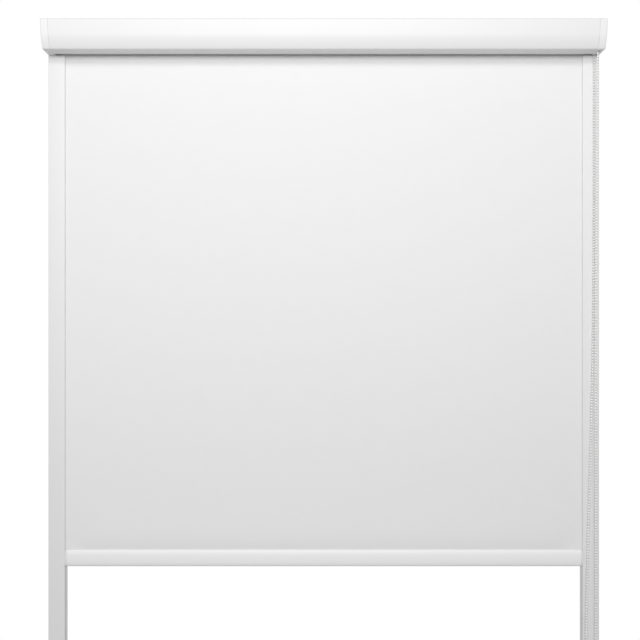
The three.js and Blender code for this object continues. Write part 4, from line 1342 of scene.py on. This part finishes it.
    def build(self) -> None:
        """Makes the beads, the cord that they sit on, and the joiner."""
        route = self.route()
        places, ahead = self.spaced(route, BEAD_PITCH)
        across, over = frames(ahead)
        shape, faces = self.bead_shape()
        turned = shape[None, :, :1] * across[:, None] + shape[None, :, 1:2] * over[:, None]
        beads = places[:, None] + turned + shape[None, :, 2:] * ahead[:, None]
        offsets = (np.arange(len(places)) * len(shape))[:, None, None]
        quads, triangles = [(group + offsets).reshape(-1, group.shape[1]).tolist() for group in faces]
        chain = made("bead_chain_loop", beads, quads + triangles, self.smoothing)
        finished(chain, ACETAL_BEAD, Body.FRAME, ("bead_chain",))
        # The cord's light grey is painted shade between the beads.
        finished(self.cord_tube(route), CORD_PAINTED_SHADE, Body.FRAME)
        finished(self.joiner(route), ACETAL_BEAD, Body.FRAME, ("chain_joiner",))
        log.info("the chain has %d beads", len(places))


def frames(ahead: Array) -> tuple[Array, Array]:
    """Gives two directions square to each direction of travel.

    The first is square to travel and to an axis that travel never follows here.

    Args:
        ahead: unit directions, one row each.

    Returns:
        The sideways and the remaining unit directions.
    """
    helper = np.array([0.3, 0.9, 0.31])
    across = np.cross(ahead, helper)
    across /= np.linalg.norm(across, axis=1, keepdims=True)
    return across, np.cross(ahead, across)


@dataclass
class Tensioner:
    """The chain's holder low on the right channel: base, cover, pulley, axle and screws."""

    bore: float = 2.3 * MM
    flange: float = 1.1 * MM
    groove_depth: float = 3.9 * MM
    edge: float = 0.4 * MM
    groove_steps: int = 16
    pulley_steps: int = 64

    def build(self) -> None:
        """Makes the moulded pieces with eased edges and dresses the metal ones."""
        for node in ("tensioner_base", "tensioner_cover"):
            finished(eased(node, self.edge), MOULDED_ABS, Body.FRAME, (node,))
        finished(self.pulley(), MOULDED_ABS, Body.PULLEY, ("tensioner_pulley",))
        for node in ("tensioner_axle", "tensioner_screw_upper", "tensioner_screw_lower"):
            dress(node, ZINC_PLATE)

    def pulley(self) -> bpy.types.Object:
        """Makes the pulley: a turned ring whose groove is a fourth-power curve between flanges.

        Returns:
            The pulley.
        """
        box = span_of("tensioner_pulley")
        rim, half = box.size[0] / 2, box.size[1] / 2
        floor = rim - self.groove_depth
        along = np.linspace(-1, 1, self.groove_steps + 1)
        groove = np.stack([floor + (rim - floor) * along**4, along * (half - self.flange)], axis=1)
        near, far = [[self.bore, -half], [rim, -half]], [[rim, half], [self.bore, half]]
        profile = np.concatenate([near, groove, far])
        return ringed("tensioner_pulley_turned", profile, box.centre, 1, self.pulley_steps)


@dataclass(frozen=True)
class Softbox:
    """A soft light that faces the wall squarely and isn't seen itself."""

    title: str
    watts: float
    place: tuple[float, float, float]
    size: tuple[float, float]

    def hang(self) -> None:
        """Hangs the light in the scene."""
        data = bpy.data.lights.new(self.title, "AREA")
        data.shape, data.energy = "RECTANGLE", self.watts
        data.size, data.size_y = self.size
        item = bpy.data.objects.new(self.title, data)
        item.location = self.place
        item.rotation_euler = (math.pi / 2, 0, 0)
        item.visible_camera = False
        bpy.context.scene.collection.objects.link(item)


@dataclass
class Studio:
    """The camera, the lights, the sky and the floor."""

    camera_x: float = -8.2 * MM
    camera_y: float = -1.668
    camera_z: float = -0.60735
    lens: float = 42.61
    sensor: float = 36.0
    backdrop: float = 1.0
    # How far back a direction points where the backdrop begins to show, and where it is full
    backdrop_from: float = 0.6
    backdrop_full: float = 0.86
    # Each row is the height that a direction points to, from -1 to 1, and the sky's grey there
    sky: tuple[tuple[float, float], ...] = (
        (-0.9, 0.28),
        (-0.7, 0.40),
        (-0.48, 0.32),
        (-0.2, 0.17),
        (0.0, 0.33),
        (0.26, 0.72),
        (0.55, 0.50),
        (0.9, 0.16),
    )
    softboxes: tuple[Softbox, ...] = (
        Softbox("high softbox", 20.7, (-0.08, -2.5, 1.2), (1.0, 0.7)),
        Softbox("wide softbox", 33.5, (-0.155, -2.5, 0.2), (2.3, 0.7)),
    )
    floor_level: float = -2.2
    floor_half: float = 1.3
    floor_front: float = -0.6
    floor_back: float = 1.1
    floor_thickness: float = 20.0 * MM
    floor_corner: float = 100.0 * MM
    floor_corner_steps: int = 8
    floor_edge: float = 2.0 * MM

    def camera(self) -> None:
        """Sets the camera level in front of the blind, a little left of its middle."""
        data = bpy.data.cameras.new("camera")
        data.lens = self.lens
        data.sensor_width = self.sensor
        item = bpy.data.objects.new("camera", data)
        item.location = (self.camera_x, self.camera_y, self.camera_z)
        item.rotation_euler = (math.pi / 2, 0, 0)
        bpy.context.scene.collection.objects.link(item)
        bpy.context.scene.camera = item

    def hang_sky(self) -> None:
        """Makes a sky that is white behind the blind and elsewhere a ramp from below to above."""
        world = bpy.data.worlds.new("studio")
        bpy.context.scene.world = world
        world.use_nodes = True
        tree = world.node_tree
        tree.nodes.clear()
        direction = add_node(tree, "ShaderNodeTexCoord").outputs["Generated"]
        parts = add_node(tree, "ShaderNodeSeparateXYZ", links={"Vector": direction})
        height = add_node(tree, "ShaderNodeMapRange", {"From Min": -1.0}, {"Value": parts.outputs["Z"]})
        base = add_node(tree, "ShaderNodeValToRGB", links={"Fac": height.outputs["Result"]})
        stops = base.color_ramp.elements
        while len(stops) < len(self.sky):
            stops.new(0.5)
        for stop, (level, grey) in zip(stops, self.sky):
            stop.position = (level + 1) / 2
            stop.color = (grey, grey, grey, 1)
        strength = add_node(
            tree,
            "ShaderNodeMapRange",
            {"From Min": self.backdrop_from, "From Max": self.backdrop_full, "To Max": self.backdrop},
            {"Value": parts.outputs["Y"], "To Min": base.outputs["Color"]},
            interpolation_type="SMOOTHSTEP",
        )
        light = add_node(
            tree,
            "ShaderNodeBackground",
            {"Color": (1, 1, 1, 1)},
            {"Strength": strength.outputs["Result"]},
        )
        add_node(tree, "ShaderNodeOutputWorld", links={"Surface": light.outputs["Background"]})

    def floor(self) -> None:
        """Lays a pale floor well under the blind's feet, below the picture."""
        level, x, front, back = self.floor_level, self.floor_half, self.floor_front, self.floor_back
        corners = np.array([[-x, front], [x, front], [x, back], [-x, back]])
        loop = rounded_corners(corners, np.full(4, self.floor_corner), self.floor_corner_steps)
        slab = prism("floor", loop, (level - self.floor_thickness, level), 2, self.floor_edge)
        slab.data.materials.append(PALE_FLOOR.make())

    def build(self) -> None:
        """Sets up everything round the blind."""
        self.camera()
        self.hang_sky()
        self.floor()
        for softbox in self.softboxes:
            softbox.hang()
        bpy.context.scene.view_settings.view_transform = "Standard"


def main() -> None:
    """Builds the studio and the blind, sub-assembly by sub-assembly."""
    logging.basicConfig(level=logging.INFO, format="%(name)s: %(message)s")
    for kind in (Studio, Cassette, Roller, HangingCloth, BottomBar, SideChannels, BeadChain, Tensioner):
        log.info("building %s", kind.__name__)
        kind().build()


if __name__ == "__main__":
    main()
